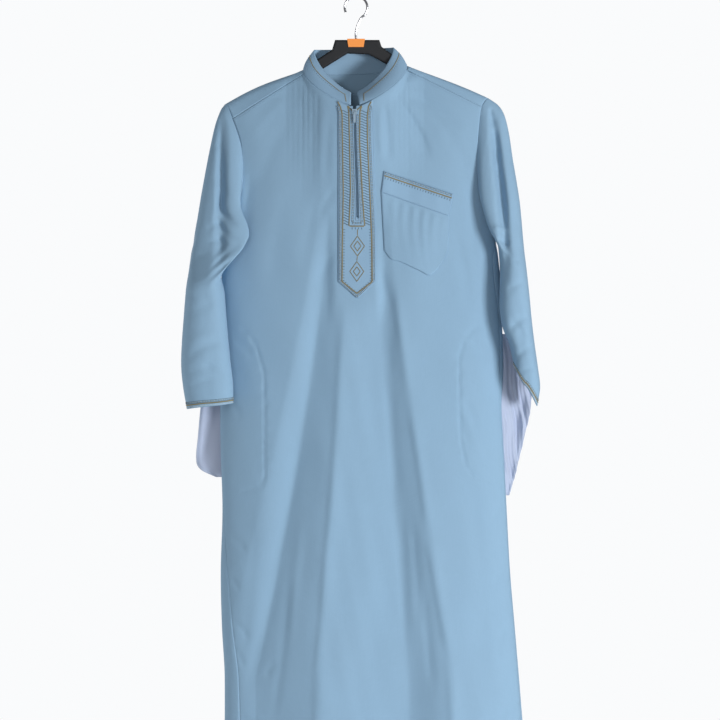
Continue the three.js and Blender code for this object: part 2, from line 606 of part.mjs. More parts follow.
piece('collar_band', clothWallOn({
  rows: collar.rows,
  columns: collar.columns,
  point: (i, j) => {
    const turn = mix(360 - collarStart, collarStart, j / collar.columns);
    const side = turn <= 180 ? -1 : 1;
    const degrees = Math.min(turn, 360 - turn);
    const low = neckPoint(neck, degrees, side);
    const high = neckPoint(collarTop, degrees, side);
    const r = i / collar.rows;
    const point = high.lerp(low, r);
    const bulge = 3 * Math.sin(Math.PI * r);
    point.x += side * bulge * Math.sin(radians(degrees));
    point.y -= bulge * Math.cos(radians(degrees));
    point.z += seamGap * r;
    return point;
  },
  thickness: clothWall + 0.4,
  normal: (i, j) => {
    const turn = radians(mix(360 - collarStart, collarStart, j / collar.columns));
    return i === collar.rows ? new THREE.Vector3(-Math.sin(turn), -Math.cos(turn), 0) : null;
  },
}), finishes.cloth);

// Sleeves: the section is an ellipse opened towards the armhole seam, lapped and grooved at the front
const sleeve = { columns: 20, lapAt: -20, lapReach: 80, grooveWidth: 8 };

function sleevePoint(name, i, j) {
  const { sign } = shoulders[name];
  const u = j / sleeve.columns;
  if (i === 0) {
    const point = shoulderArc(name, u);
    return point.addScaledVector(new THREE.Vector3(sign * 0.9, 0, -0.3 * Math.sin(Math.PI * u)), seamGap);
  }
  const row = sleeveRows[name][i - 1];
  const turn = row.close * Math.PI / 2;
  const phi = mix(-turn, Math.PI + turn, u);
  const middle = mix(row.inX, (row.inX + row.outX) / 2, row.close);
  const reach = Math.abs(row.outX - middle);
  const ellipse = (a) => [middle + sign * reach * Math.sin(a), row.midY - row.depth * Math.cos(a)];
  let [x, y] = ellipse(phi);
  if (row.seamZ > armpitZ) {
    const ends = [
      { a: -turn, w: Math.max(0, 1 - u / 0.3), face: 'front' },
      { a: Math.PI + turn, w: Math.max(0, 1 - (1 - u) / 0.3), face: 'back' },
    ];
    for (const end of ends) {
      const seamZ = seamHeight(name, end.face, i);
      const seamX = along(armholeRows[name], 'z', end.face, seamZ);
      const seamY = end.face === 'front' ? frontY(seamX, seamZ) : backY(seamX, seamZ);
      const [fromX, fromY] = ellipse(end.a);
      x += (seamX + sign * seamGap - fromX) * end.w ** 2;
      y += (seamY - fromY) * end.w ** 2;
    }
  }
  const degrees = THREE.MathUtils.radToDeg(phi);
  const offLap = clamp((degrees - sleeve.lapAt) / sleeve.lapReach, -1, 1);
  x -= sign * row.lap * Math.cos(offLap * Math.PI / 2) ** 2 * smooth(0, 0.12, u);
  if (Math.cos(phi) > 0 && u > 0.1) {
    y += row.groove * Math.exp(-(((x - row.grooveX) / sleeve.grooveWidth) ** 2));
  }
  const span = (Math.sin(phi) + Math.sin(turn)) / (1 + Math.sin(turn));
  if (row.close === 1) y += (j === 0 ? -1 : 0) * seamGap / 2 + (j === sleeve.columns ? 1 : 0) * seamGap / 2;
  const endZ = row.seamZ > armpitZ ? mix(row.seamZ, seamHeight(name, 'back', i), u) : row.seamZ;
  return new THREE.Vector3(x, y, mix(endZ, row.outZ, span));
}

for (const name of ['left', 'right']) {
  const flip = (j) => (name === 'left' ? sleeve.columns - j : j);
  piece(`sleeve_${name}`, clothWallOn({
    rows: sleeveRows[name].length,
    columns: sleeve.columns,
    point: (i, j) => sleevePoint(name, i, flip(j)),
    thickness: clothWall,
    normal: (i, j) => (i === 0 ? shoulderNormal(name, flip(j) / sleeve.columns) : null),
  }), finishes.cloth);
}

// A point on the facets of the front panel at x, z, moved out by some distance
function onFront(x, z, out) {
  const cross = (a, b, c) => (b[0] - a[0]) * (c[1] - a[1]) - (b[1] - a[1]) * (c[0] - a[0]);
  for (let i = 0; i < front.rows; i += 1) {
    for (let j = 0; j < front.columns; j += 1) {
      const [a, b, c, d] = [frontXZ(i, j), frontXZ(i, j + 1), frontXZ(i + 1, j + 1), frontXZ(i + 1, j)];
      for (const [p, q, r] of [[a, d, c], [a, c, b]]) {
        const area = cross(p, q, r);
        const shares = [cross(q, r, [x, z]) / area, cross(r, p, [x, z]) / area, cross(p, q, [x, z]) / area];
        if (Math.min(...shares) < -1e-6) continue;
        const y = [p, q, r].reduce((sum, at, k) => sum + shares[k] * frontY(...at), 0);
        return new THREE.Vector3(x, y - out, z);
      }
    }
  }
  return new THREE.Vector3(x, frontY(x, z) - out, z);
}

// Placket: lies on the front, slit for the zip, with a pointed lower end
const panel = { half: 5, rows: 12, slitRow: 7 };
panel.columns = 2 * panel.half + 1;
panel.slitZ = frontXZ(front.slitRows, front.half)[1];

function placketPoint(i, j) {
  const leftHalf = j <= panel.half;
  const k = leftHalf ? j : panel.columns - j;
  const side = leftHalf ? -1 : 1;
  const s = 1 - k / panel.half;
  const edge = leftHalf ? placket.left : placket.right;
  const slitFloor = slitX(zip.slitEndZ) + side * zip.halfSlit;
  const turn = Math.abs(edge - neck.midX) / neck.halfWidth;
  const degrees = THREE.MathUtils.radToDeg(Math.asin(clamp(turn * s, Math.sin(radians(collarStart)), 1)));
  const top = k === panel.half ? zip.topZ - 1 : neckPoint(neck, degrees, side).z - 1.5;
  const bottom = placket.endZ - placket.tip * (1 - s);
  const slitZ = panel.slitZ;
  const z = i <= panel.slitRow
    ? mix(top, slitZ, i / panel.slitRow)
    : mix(slitZ, bottom, (i - panel.slitRow) / (panel.rows - panel.slitRow));
  const lean = placket.lean * smooth(-200, -400, z) * (leftHalf ? 0 : 1);
  const inner = z < zip.slitEndZ ? slitFloor : slitX(z) + side * zip.halfSlit;
  const x = mix(inner, edge + lean, s);
  return onFront(x, z, lift + thinWall);
}

piece('placket_panel', clothWallOn({
  rows: panel.rows,
  columns: panel.columns,
  point: placketPoint,
  thickness: thinWall,
  keep: (i, j) => j !== panel.half || i >= panel.slitRow,
}), finishes.cloth);

// Zip: the tapes behind the slit with the closed coil standing in it
const tape = { stations: [-1, -0.17, -0.12, 0.12, 0.17, 1], rows: 10, coilRows: 8, thickness: 1 };
const tapeZ = (i) => (i <= tape.coilRows
  ? mix(zip.topZ - 6, zip.endZ + 9, i / tape.coilRows)
  : mix(zip.endZ + 8, zip.endZ - 4, i - tape.coilRows - 1));
const isCoil = (i, j) => Math.abs(tape.stations[j]) < 0.15 && i <= tape.coilRows;

piece('zip_tape', clothWallOn({
  rows: tape.rows,
  columns: tape.stations.length - 1,
  point: (i, j) => {
    const z = tapeZ(i);
    const x = slitX(z) + tape.stations[j] * zip.tapeHalf;
    return new THREE.Vector3(x, frontY(x, z) + (isCoil(i, j) ? -thinWall : clothWall + 0.5), z);
  },
  thickness: (i, j) => (isCoil(i, j) ? clothWall + 0.5 + thinWall + tape.thickness : tape.thickness),
  normal: () => new THREE.Vector3(0, -1, 0),
}), finishes.tape);

// Slider with two ears, and the pull tab whose barrel turns between them
const slider = { x: slitX(zip.topZ), z: -203, width: 9, height: 11, depth: 2.6, ear: 1, earGap: 3.6,
  pivotOut: 2.4 };
slider.y = Math.min(...[-1, 1].flatMap((a) => [-1, 1].map((b) => (
  frontY(slider.x + a * slider.width / 2, slider.z + b * slider.height / 2))))) - lift - thinWall - seamGap;
const pull = { length: 20, width: 4, thickness: 1.1, barrel: 1.1, eye: 3 };
slider.pivotY = slider.y - slider.depth - slider.pivotOut;

function sliderGeometry() {
  const outline = new THREE.Shape();
  const [w, h] = [slider.width / 2, slider.height / 2];
  outline.moveTo(-w, h);
  outline.lineTo(-w, 0);
  outline.quadraticCurveTo(-w, -h, -w * 0.4, -h);
  outline.lineTo(w * 0.4, -h);
  outline.quadraticCurveTo(w, -h, w, 0);
  outline.lineTo(w, h);
  outline.quadraticCurveTo(0, h * 0.55, -w, h);
  const plate = new THREE.ExtrudeGeometry(outline, {
    depth: slider.depth, bevelEnabled: false, curveSegments: 4,
  });
  plate.rotateX(Math.PI / 2);
  plate.translate(slider.x, slider.y, slider.z);
  const ears = [-1, 1].map((side) => {
    const height = slider.pivotOut + 1.2 + slider.depth / 2;
    const ear = new THREE.BoxGeometry(slider.ear, height, 3.2);
    const out = side * (slider.earGap + slider.ear) / 2;
    ear.translate(slider.x + out, slider.y - slider.depth / 2 - height / 2, slider.z);
    return ear;
  });
  return join(plate, ...ears);
}

function pullGeometry() {
  const barrel = new THREE.CylinderGeometry(pull.barrel, pull.barrel, pull.eye, 14);
  barrel.rotateZ(Math.PI / 2);
  barrel.translate(slider.x, slider.pivotY, slider.z);
  const tab = new THREE.Shape();
  const [w, end] = [pull.width / 2, -pull.length];
  tab.moveTo(-0.9, -0.3);
  tab.lineTo(-0.9, -4);
  tab.lineTo(-w, -7);
  tab.lineTo(-w, end + w);
  tab.absarc(0, end + w, w, Math.PI, 2 * Math.PI);
  tab.lineTo(w, -7);
  tab.lineTo(0.9, -4);
  tab.lineTo(0.9, -0.3);
  const plate = new THREE.ExtrudeGeometry(tab, {
    depth: pull.thickness, bevelEnabled: false, curveSegments: 6,
  });
  plate.rotateX(Math.PI / 2);
  plate.translate(slider.x, slider.pivotY + pull.thickness / 2, slider.z);
  return join(barrel, plate);
}

piece('zip_slider', sliderGeometry(), finishes.metal);
piece('zip_pull', pullGeometry(), finishes.metal);

// Chest pocket: the band and the pouch lie on the front, tilted as it hangs
const pocket = { columns: 10, bandRows: 3, pouchRows: 8 };

piece('chest_pocket_band', clothWallOn({
  rows: pocket.bandRows,
  columns: pocket.columns,
  point: (i, j) => {
    const [s, t] = [j / pocket.columns, i / pocket.bandRows];
    const { topLeft, topRight, lowLeft, lowRight } = pocketBand;
    const x = mix(mix(topLeft[0], topRight[0], s), mix(lowLeft[0], lowRight[0], s), t);
    const z = mix(mix(topLeft[1], topRight[1], s), mix(lowLeft[1], lowRight[1], s), t);
    return onFront(x, z, lift + thinWall + 0.5);
  },
  thickness: thinWall,
}), finishes.cloth);

piece('chest_pocket_pouch', clothWallOn({
  rows: pocket.pouchRows,
  columns: pocket.columns,
  point: (i, j) => {
    const [s, t] = [j / pocket.columns, i / pocket.pouchRows];
    const { lowLeft, lowRight } = pocketBand;
    const lowX = along(pouchEdge, 'across', 'x', s);
    const lowZ = along(pouchEdge, 'across', 'z', s);
    const x = mix(mix(lowLeft[0], lowRight[0], s), lowX, t);
    const z = mix(mix(lowLeft[1], lowRight[1], s), lowZ, t) - seamGap;
    const slack = 2.5 * Math.sin(Math.PI * s) * (1 - t) ** 0.5;
    return onFront(x, z, lift + thinWall + slack * smooth(0, 0.2, t));
  },
  thickness: thinWall,
}), finishes.cloth);

// Pocket bags: two pressed layers that hang beside the side seams
const bag = { columns: 6, rows: 14, layers: 2.6, wave: 2.5 };

// The silhouette of the back panel's facets at a height
function backEdge(name, z) {
  const { sign } = shoulders[name];
  const reach = (i) => {
    const row = Array.from({ length: back.columns + 1 }, (_, j) => backPoint(i, j));
    return row.reduce((a, b) => (sign * b.x > sign * a.x ? b : a), new THREE.Vector3());
  };
  let i = back.upRows;
  while (i < back.rows - 1 && backPoint(i + 1, 0).z > z) i += 1;
  const [a, b] = [reach(i), reach(i + 1)];
  return mix(a.x, b.x, clamp((z - a.z) / (b.z - a.z), 0, 1));
}

for (const name of ['left', 'right']) {
  const { sign } = shoulders[name];
  const rows = bagRows[name];
  const [topZ, endZ] = [rows[0].z, rows[rows.length - 1].z];
  piece(`side_pocket_bag_${name}`, clothWallOn({
    rows: bag.rows,
    columns: bag.columns,
    point: (i, j) => {
      const z = mix(topZ, endZ, i / bag.rows);
      const s = (name === 'left' ? bag.columns - j : j) / bag.columns;
      const root = backEdge(name, z) + sign * (name === 'left' ? 0.4 : 0.85);
      const x = mix(root, along(rows, 'z', 'outX', z), s);
      const wave = bag.wave * Math.sin(z / 31 + 3 * s) * s;
      return new THREE.Vector3(x, 1 + along(rows, 'z', 'backY', z) * smooth(0, 0.7, s) + wave, z);
    },
    thickness: bag.layers,
    normal: () => new THREE.Vector3(0, -1, 0),
  }), finishes.lining);
}

// Hanger: a moulded plate whose arms follow the inside of the yoke
function hangerGeometry() {
  const steps = 7;
  const ridge = (name, t) => {
    const j = name === 'left' ? yoke.shoulderColumns / 2 : yoke.columns - yoke.shoulderColumns / 2;
    const point = yokePoint(0, j).lerp(yokePoint(yoke.rows, j), t);
    point.z += shoulders[name].crown * Math.sin(Math.PI * t ** 1.3);
    return point;
  };
  const side = (name) => {
    const centre = hangerRows[name];
    const top = centre.map((row) => [row.x, row.top]);
    const low = centre.map((row) => [row.lowX, row.low]);
    for (let k = 0; k <= steps; k += 1) {
      const t = mix(0.05, hanger.reach, k / steps);
      const { x, z } = ridge(name, t);
      const topZ = z - clothWall - hanger.seat - hanger.settle * t;
      top.push([x, topZ]);
      low.push([x, topZ - mix(hanger.armHeight, hanger.tipHeight, t)]);
    }
    return [...top, ...low.reverse()];
  };
  const points = [...side('right'), ...side('left').reverse()].map(([x, z]) => new THREE.Vector2(x, z));
  const b = hanger.bevel;
  const plate = new THREE.ExtrudeGeometry(new THREE.Shape(points), {
    depth: hanger.depth - 2 * b, bevelEnabled: true, bevelThickness: b, bevelSize: b, bevelOffset: -b,
    bevelSegments: 3,
  });
  plate.translate(0, 0, -(hanger.depth - 2 * b) / 2);
  plate.rotateX(Math.PI / 2);
  return join(plate);
}

function hookGeometry() {
  const radius = hook.innerRadius + hook.wire / 2;
  const points = [new THREE.Vector3(0, 0, hanger.crownTop + 0.35), new THREE.Vector3(0, 0, hook.stemTop)];
  const bendSteps = 14;
  for (let k = 0; k <= bendSteps; k += 1) {
    const a = radians(mix(hook.startTurn, hook.endTurn, k / bendSteps));
    points.push(new THREE.Vector3(radius * Math.cos(a), 0, -hook.innerRadius + radius * Math.sin(a)));
  }
  const path = new THREE.CatmullRomCurve3(points, false, 'centripetal');
  const ring = new THREE.Shape();
  ring.absarc(0, 0, hook.wire / 2, 0, 2 * Math.PI);
  return join(new THREE.ExtrudeGeometry(ring, { steps: 34, curveSegments: 4, extrudePath: path }));
}

piece('hanger_body', hangerGeometry(), finishes.black);
piece('hanger_hook', hookGeometry(), finishes.metal);

// Clip: a plain saddle over the crown, narrowing down its front and back, with a hole for the hook
const clip = { topHalf: 15.5, lowHalf: 13.4, drop: 13, wall: 1.5, hole: 3.4 };

function clipGeometry() {
  const outer = hanger.depth / 2 + 0.35 + clip.wall;
  const inner = hanger.depth / 2 + 0.35;
  const side = new THREE.Shape();
  const top = hanger.crownTop + 0.35;
  side.moveTo(-outer, top - clip.drop);
  side.lineTo(-outer, top + clip.wall);
  side.lineTo(outer, top + clip.wall);
  side.lineTo(outer, top - clip.drop);
  side.lineTo(inner, top - clip.drop);
  side.lineTo(inner, top);
  side.lineTo(-inner, top);
  side.lineTo(-inner, top - clip.drop);
  side.closePath();
  const saddle = new THREE.ExtrudeGeometry(side, { depth: 2 * clip.topHalf, bevelEnabled: false });
  saddle.translate(0, 0, -clip.topHalf);
  saddle.rotateX(Math.PI / 2);
  saddle.rotateZ(Math.PI / 2);
  const hole = new THREE.CylinderGeometry(clip.hole, clip.hole, 12, 16);
  hole.rotateX(Math.PI / 2);
  hole.translate(0, 0, top);
  const slope = (clip.topHalf - clip.lowHalf) / clip.drop;
  const position = saddle.attributes.position;
  for (let k = 0; k < position.count; k += 1) {
    const depth = top - position.getZ(k);
    if (depth > 0) position.setX(k, position.getX(k) * (1 - slope * depth / clip.topHalf));
  }
  return cut(saddle, hole);
}

piece('hanger_clip', clipGeometry(), finishes.orange);

export default group;
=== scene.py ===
# A light blue qamis robe hanging on a moulded hanger.
# Metres, +Z up, the front faces -Y. Tables and shapes are worked out in millimetres and scaled on the way in.
import math
import bpy
import numpy as np
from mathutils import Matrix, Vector


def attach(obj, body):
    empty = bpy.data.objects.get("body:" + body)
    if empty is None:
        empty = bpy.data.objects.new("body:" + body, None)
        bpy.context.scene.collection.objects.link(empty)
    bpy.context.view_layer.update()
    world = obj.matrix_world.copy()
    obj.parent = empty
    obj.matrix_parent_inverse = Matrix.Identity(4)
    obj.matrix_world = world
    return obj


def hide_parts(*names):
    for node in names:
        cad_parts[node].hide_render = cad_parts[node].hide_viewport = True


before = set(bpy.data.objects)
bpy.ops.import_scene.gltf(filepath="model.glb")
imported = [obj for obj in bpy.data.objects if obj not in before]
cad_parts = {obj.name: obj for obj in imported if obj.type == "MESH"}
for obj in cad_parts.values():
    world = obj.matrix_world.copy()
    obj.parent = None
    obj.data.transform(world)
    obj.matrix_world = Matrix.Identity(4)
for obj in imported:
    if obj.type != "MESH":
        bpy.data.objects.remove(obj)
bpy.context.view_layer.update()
toMetres = 0.001
print("frame loaded")

# Camera and light
studio = {
    "lens": 300, "sensor": 36, "viewWidth": 1.26, "aimX": 0.007, "aimZ": -0.638, "clothY": -0.055,
    "backdrop": (0.955, 0.965, 0.975), "ambient": 0.2, "floorZ": -1.62, "floorRadius": 2.1,
}
lights = {
    "key": {"place": (3.3, -3.0, -0.95), "aim": (0, 0, -0.75), "size": 1.1, "power": 168},
    "fill": {"place": (-0.5, -3.8, -0.1), "aim": (0, 0, -0.45), "size": 1.2, "power": 26},
    "side": {"place": (-3.2, 0.5, -0.75), "aim": (-0.25, 0, -0.75), "size": 1.0, "power": 30},
    "back": {"place": (-0.4, 3.2, 0.2), "aim": (0, 0, -0.6), "size": 2.0, "power": 70},
}


def lookAt(thing, place, aim):
    # Place and aim in metres; the object's -Z turns to aim
    thing.location = place
    thing.rotation_euler = (Vector(aim) - Vector(place)).to_track_quat("-Z", "Y").to_euler()


cameraData = bpy.data.cameras.new("camera")
cameraData.lens = studio["lens"]
cameraData.sensor_width = studio["sensor"]
camera = bpy.data.objects.new("camera", cameraData)
bpy.context.scene.collection.objects.link(camera)
reach = studio["viewWidth"] * studio["lens"] / studio["sensor"]
lookAt(camera, (studio["aimX"], studio["clothY"] - reach, studio["aimZ"]), (studio["aimX"], 0, studio["aimZ"]))
bpy.context.scene.camera = camera
bpy.context.scene.view_settings.view_transform = "Standard"
for lightName, settings in lights.items():
    lightData = bpy.data.lights.new(lightName, "AREA")
    lightData.size = settings["size"]
    lightData.energy = settings["power"]
    lamp = bpy.data.objects.new(lightName, lightData)
    bpy.context.scene.collection.objects.link(lamp)
    lookAt(lamp, settings["place"], settings["aim"])


# Shader nodes
class Wire:
    # A socket: sums, products and the like on it add Math nodes
    def __init__(self, tree, socket):
        self.tree, self.socket = tree, socket

    def calc(self, operation, *values):
        return self.tree.add("ShaderNodeMath", {"operation": operation}, values)[0]

    def __add__(self, other):
        return self.calc("ADD", self, other)

    def __sub__(self, other):
        return self.calc("SUBTRACT", self, other)

    def __mul__(self, other):
        return self.calc("MULTIPLY", self, other)

    __radd__, __rmul__ = __add__, __mul__

    def sine(self):
        return self.calc("SINE", self)


class Tree:
    # A material's nodes; add takes a node's type, its settings and the values or wires of its sockets
    def __init__(self, name):
        self.material = bpy.data.materials.new(name)
        self.material.use_nodes = True
        self.nodes, self.links = self.material.node_tree.nodes, self.material.node_tree.links
        self.shader = self.nodes["Principled BSDF"]

    def add(self, kind, settings=None, inputs=()):
        node = self.nodes.new(kind)
        for key, value in (settings or {}).items():
            setattr(node, key, value)
        pairs = inputs.items() if isinstance(inputs, dict) else enumerate(inputs)
        for key, value in pairs:
            self.feed(node.inputs[key], value)
        return [Wire(self, socket) for socket in node.outputs]

    def feed(self, socket, value):
        if isinstance(value, Wire):
            self.links.new(value.socket, socket)
        else:
            socket.default_value = value

    def set(self, **values):
        # Sockets of the shader by name, with _ for a space
        for key, value in values.items():
            self.feed(self.shader.inputs[key.replace("_", " ")], value)

    def between(self, factor, a, b):
        # Colour a where factor is 0, b where it is 1
        return self.add("ShaderNodeMix", {"data_type": "RGBA"}, {0: factor, 6: a, 7: b})[2]

    def noise(self, vector, scale, detail=3, stretch=(1, 1, 1)):
        # Noise from about 0 to 1, drawn out along an axis where stretch is small
        placed = self.add("ShaderNodeMapping", {}, {"Vector": vector, "Scale": stretch})[0]
        return self.add("ShaderNodeTexNoise", {}, {"Vector": placed, "Scale": scale, "Detail": detail})[0]

    def bump(self, height, strength, distance):
        self.set(Normal=self.add("ShaderNodeBump", {}, {"Height": height, "Strength": strength,
                                                        "Distance": distance})[0])


def linear(red, green, blue):
    # A screen colour from 0 to 255 as a linear one: c / 12.92 below 0.04, ((c + 0.055) / 1.055) ** 2.4 above
    def one(value):
        c = value / 255
        return c / 12.92 if c <= 0.04045 else ((c + 0.055) / 1.055) ** 2.4
    return (one(red), one(green), one(blue), 1)


def clothMaterial(name, colour, pitch=0.75, slub=0.06, sheen=0.25, roughness=0.82, depth=0.12):
    # A plain weave: over and under threads as crossed sines of the cloth's own coordinates, with slubs and
    # a faint unevenness of the dye
    tree = Tree(name)
    uv = tree.add("ShaderNodeUVMap", {"uv_map": "cloth"})[0]
    x, y, _ = tree.add("ShaderNodeSeparateXYZ", {}, [uv])
    turn = 2 * math.pi / (pitch * toMetres)
    warp, weft = (x * turn).sine(), (y * turn).sine()
    weave = warp * weft
    acrossSlub = tree.noise(uv, 900, 2, (0.04, 1, 1))
    downSlub = tree.noise(uv, 900, 2, (1, 0.04, 1))
    broad = tree.noise(uv, 9, 3)
    thread = (acrossSlub + downSlub) * 0.5
    shade = [c * (1 - 1.6 * slub) for c in colour[:3]] + [1]
    light = [min(1, c * (1 + 1.6 * slub)) for c in colour[:3]] + [1]
    tone = thread * 0.75 + broad * 0.35 + weave * 0.05 - 0.05
    tree.set(Base_Color=tree.between(tone, shade, light), Roughness=roughness - 0.1 + 0.2 * broad)
    tree.set(Sheen_Weight=sheen, Sheen_Roughness=0.45, Specular_IOR_Level=0.3)
    tree.bump(weave * 0.6 + thread * 0.9, 0.35, depth * toMetres)
    return tree.material


def threadMaterial(name, colour, roughness=0.45, twist=0.5):
    # Embroidery thread: fine plies across each stitch, from object coordinates
    tree = Tree(name)
    at = tree.add("ShaderNodeTexCoord")[3]
    x, y, z = tree.add("ShaderNodeSeparateXYZ", {}, [at])
    ply = ((x + z * 0.7 + y * 0.4) * (2 * math.pi / (twist * toMetres))).sine()
    patch = tree.noise(at, 260, 3)
    dark = [c * 0.72 for c in colour[:3]] + [1]
    light = [min(1, c * 1.22) for c in colour[:3]] + [1]
    tree.set(Base_Color=tree.between(patch * 0.8 + ply * 0.15 + 0.05, dark, light),
             Roughness=roughness + 0.2 * patch)
    tree.set(Sheen_Weight=0.2)
    tree.bump(ply * 0.5 + patch, 0.3, 0.06 * toMetres)
    return tree.material


def hardMaterial(name, colour, roughness, metallic=0.0, grain=120, wear=0.06, depth=0.03):
    # Moulded plastic or plated metal: fine grain, scuffs in the gloss and a little tone
    tree = Tree(name)
    at = tree.add("ShaderNodeTexCoord")[3]
    fine, scuff = tree.noise(at, grain * 8, 2), tree.noise(at, grain, 5, (1, 0.3, 2))
    dark = [c * (1 - 2 * wear) for c in colour[:3]] + [1]
    light = [min(1, c * (1 + 2 * wear) + wear * 0.05) for c in colour[:3]] + [1]
    tree.set(Base_Color=tree.between(scuff, dark, light), Roughness=roughness - 0.08 + 0.2 * scuff)
    tree.set(Metallic=metallic)
    tree.bump(fine + scuff * 0.4, 0.2, depth * toMetres)
    return tree.material


finishes = {
    "robe": clothMaterial("robeCloth", linear(136, 169, 195), sheen=0.08),
    "placket": clothMaterial("placketCloth", linear(137, 170, 197), pitch=0.7, slub=0.05, sheen=0.08),
    "lining": clothMaterial("pocketLining", linear(172, 184, 208), pitch=0.6, slub=0.05, sheen=0.15),
    "tape": clothMaterial("zipTape", linear(116, 146, 172), pitch=1.1, slub=0.08, sheen=0.1, depth=0.2),
    "gold": threadMaterial("goldThread", linear(138, 129, 94), 0.45),
    "pale": threadMaterial("paleThread", linear(200, 214, 218), 0.5),
    "net": threadMaterial("greyThread", linear(78, 98, 112), 0.6),
    "blue": threadMaterial("sewingThread", linear(132, 163, 190), 0.6, twist=0.3),
    "coil": hardMaterial("zipCoil", linear(112, 140, 164), 0.45),
    "metal": hardMaterial("zipEnamel", linear(126, 146, 162), 0.38, metallic=0.5, wear=0.08),
    "steel": hardMaterial("hookSteel", linear(190, 192, 196), 0.22, metallic=1.0, wear=0.05),
    "black": hardMaterial("hangerPlastic", linear(13, 16, 22), 0.62, grain=60, depth=0.06),
    "orange": hardMaterial("clipPlastic", linear(252, 152, 62), 0.45, grain=90, wear=0.03),
}
print("materials ready")


# Numbers and tables of the robe, in millimetres
def mix(a, b, t):
    return a + (b - a) * t


def ramp(low, high, value):
    # 0 below low, 1 above high, 3 t^2 - 2 t^3 between
    t = np.clip((value - low) / (high - low), 0, 1)
    return t * t * (3 - 2 * t)


def cubic(t, a, b, slopeA, slopeB, span=1):
    # From a to b over a span, with the given slopes at its ends
    return ((2 * t**3 - 3 * t**2 + 1) * a + (t**3 - 2 * t**2 + t) * span * slopeA
            + (3 * t**2 - 2 * t**3) * b + (t**3 - t**2) * span * slopeB)


def along(table, column, place):
    # Cubic Hermite curve through a table's column, its first column being the key, with central slopes
    key, value = table[:, 0], table[:, column]
    way = np.sign(key[-1] - key[0])
    at = way * np.clip(way * np.asarray(place, float), way * key[0], way * key[-1])
    i = np.clip(np.searchsorted(way * key, way * at) - 1, 0, len(key) - 2)
    low, high = np.maximum(np.arange(len(key)) - 1, 0), np.minimum(np.arange(len(key)) + 1, len(key) - 1)
    slope = (value[high] - value[low]) / (key[high] - key[low])
    span = key[i + 1] - key[i]
    return cubic((at - key[i]) / span, value[i], value[i + 1], slope[i], slope[i + 1], span)


neck = {"midX": -1.5, "midY": -8, "halfWidth": 92, "halfDepth": 38, "z": -124.5, "frontDrop": 71,
        "backDrop": 10.5, "tilt": 3.5, "roundness": 0.5}
collarTop = {"midX": -3.75, "midY": 0, "halfWidth": 69.8, "halfDepth": 24, "z": -90, "frontDrop": 83,
             "backDrop": 0, "tilt": 2, "roundness": 0.5}
sizes = {"seamGap": -0.05, "groove": 0.8, "grooveWide": 1.6, "hemZ": -1536, "armpitZ": -430, "collarStart": 6.5,
         "yokeStart": 80, "flatness": 2.4, "cluster": 1.35, "cloth": 0.7}
zipper = {"halfSlit": 2, "topZ": -205, "endZ": -392, "slitEndZ": -391, "topX": -2.5, "lean": 5, "tapeHalf": 11}
placket = {"left": -31.5, "right": 30, "lean": 4, "endZ": -501, "tip": 28, "out": 1.8}
# How the neck seam throws the front forward, and how far folds and creases stay off the placket and the seams
throw = {"reach": 240, "aside": 30, "meanBelow": 26, "meanOver": (-27, -18, -9, 0, 9, 18, 27)}
hold = {"from": 34, "to": 52, "below": 20, "fade": 70, "creaseFrom": 30, "creaseTo": 42, "creaseShare": 0.85}
free = {"armhole": 16, "top": 14}

# z, left, right, front depth, back depth, seam in from the left and from the right silhouette
bodyRows = np.array([
    [-120, -238, 238, 13, 22, 0, 0], [-150, -238, 239, 16, 27, 0, 0], [-214, -238, 240, 27, 31, 0, 0],
    [-260, -231, 241, 33, 34, 0, 0], [-330, -229, 241, 38, 38, 0, 0], [-380, -230, 242, 41, 40, 0, 0],
    [-430, -235, 246, 44, 42, 0, 0], [-455, -236, 250, 45, 43, 0, 9], [-500, -237, 254, 47, 44, 0, 11],
    [-550, -238, 256, 49, 45, 0, 6], [-600, -238, 258, 50, 46, 0, 5], [-660, -239, 259, 52, 48, 0, 6],
    [-718, -239, 256, 54, 49, 0, 3], [-800, -238, 260, 57, 51, 0, 1], [-900, -235, 265, 60, 54, 2, 1],
    [-1010, -238, 271, 64, 57, 13, 1], [-1105, -236, 279, 67, 60, 19, 1], [-1200, -231, 287, 70, 63, 25, 2],
    [-1536, -234, 314, 80, 72, 34, 4]], float)
# z, front x, back x
armhole = {
    "left": np.array([[-190, -226, -231], [-214, -217.5, -229], [-235, -209.5, -223], [-260, -202.5, -217],
                      [-316, -201, -212], [-351, -205, -214], [-379, -212, -219], [-407, -222, -227],
                      [-430, -235, -235]], float),
    "right": np.array([[-180, 228, 233], [-193, 221, 231], [-228, 216.6, 225], [-269, 214.5, 221],
                       [-317, 216, 221], [-351, 219, 224], [-375, 225.6, 229], [-401, 234.5, 237],
                       [-430, 246, 246]], float),
}
shoulders = {
    "left": {"sign": -1, "frontZ": -214, "backZ": -228, "tip": (-231, 0, -189), "crown": 6},
    "right": {"sign": 1, "frontZ": -193, "backZ": -212, "tip": (235, 0, -180), "crown": 3},
}
# top x, top z, low x, low z, bend, depth, width to the left, width to the right
frontFolds = [[-48, -380, -176, -1198, 1.35, 20, 72, 102], [36, -380, 93, -1198, 1.3, 22, 155, 80]]
backFolds = [[-70, -300, -134, -1198, 1.2, 22, 52, 70], [6, -260, 24, -1198, 1.2, 18, 80, 60],
             [84, -300, 176, -1198, 1.2, 22, 88, 52]]
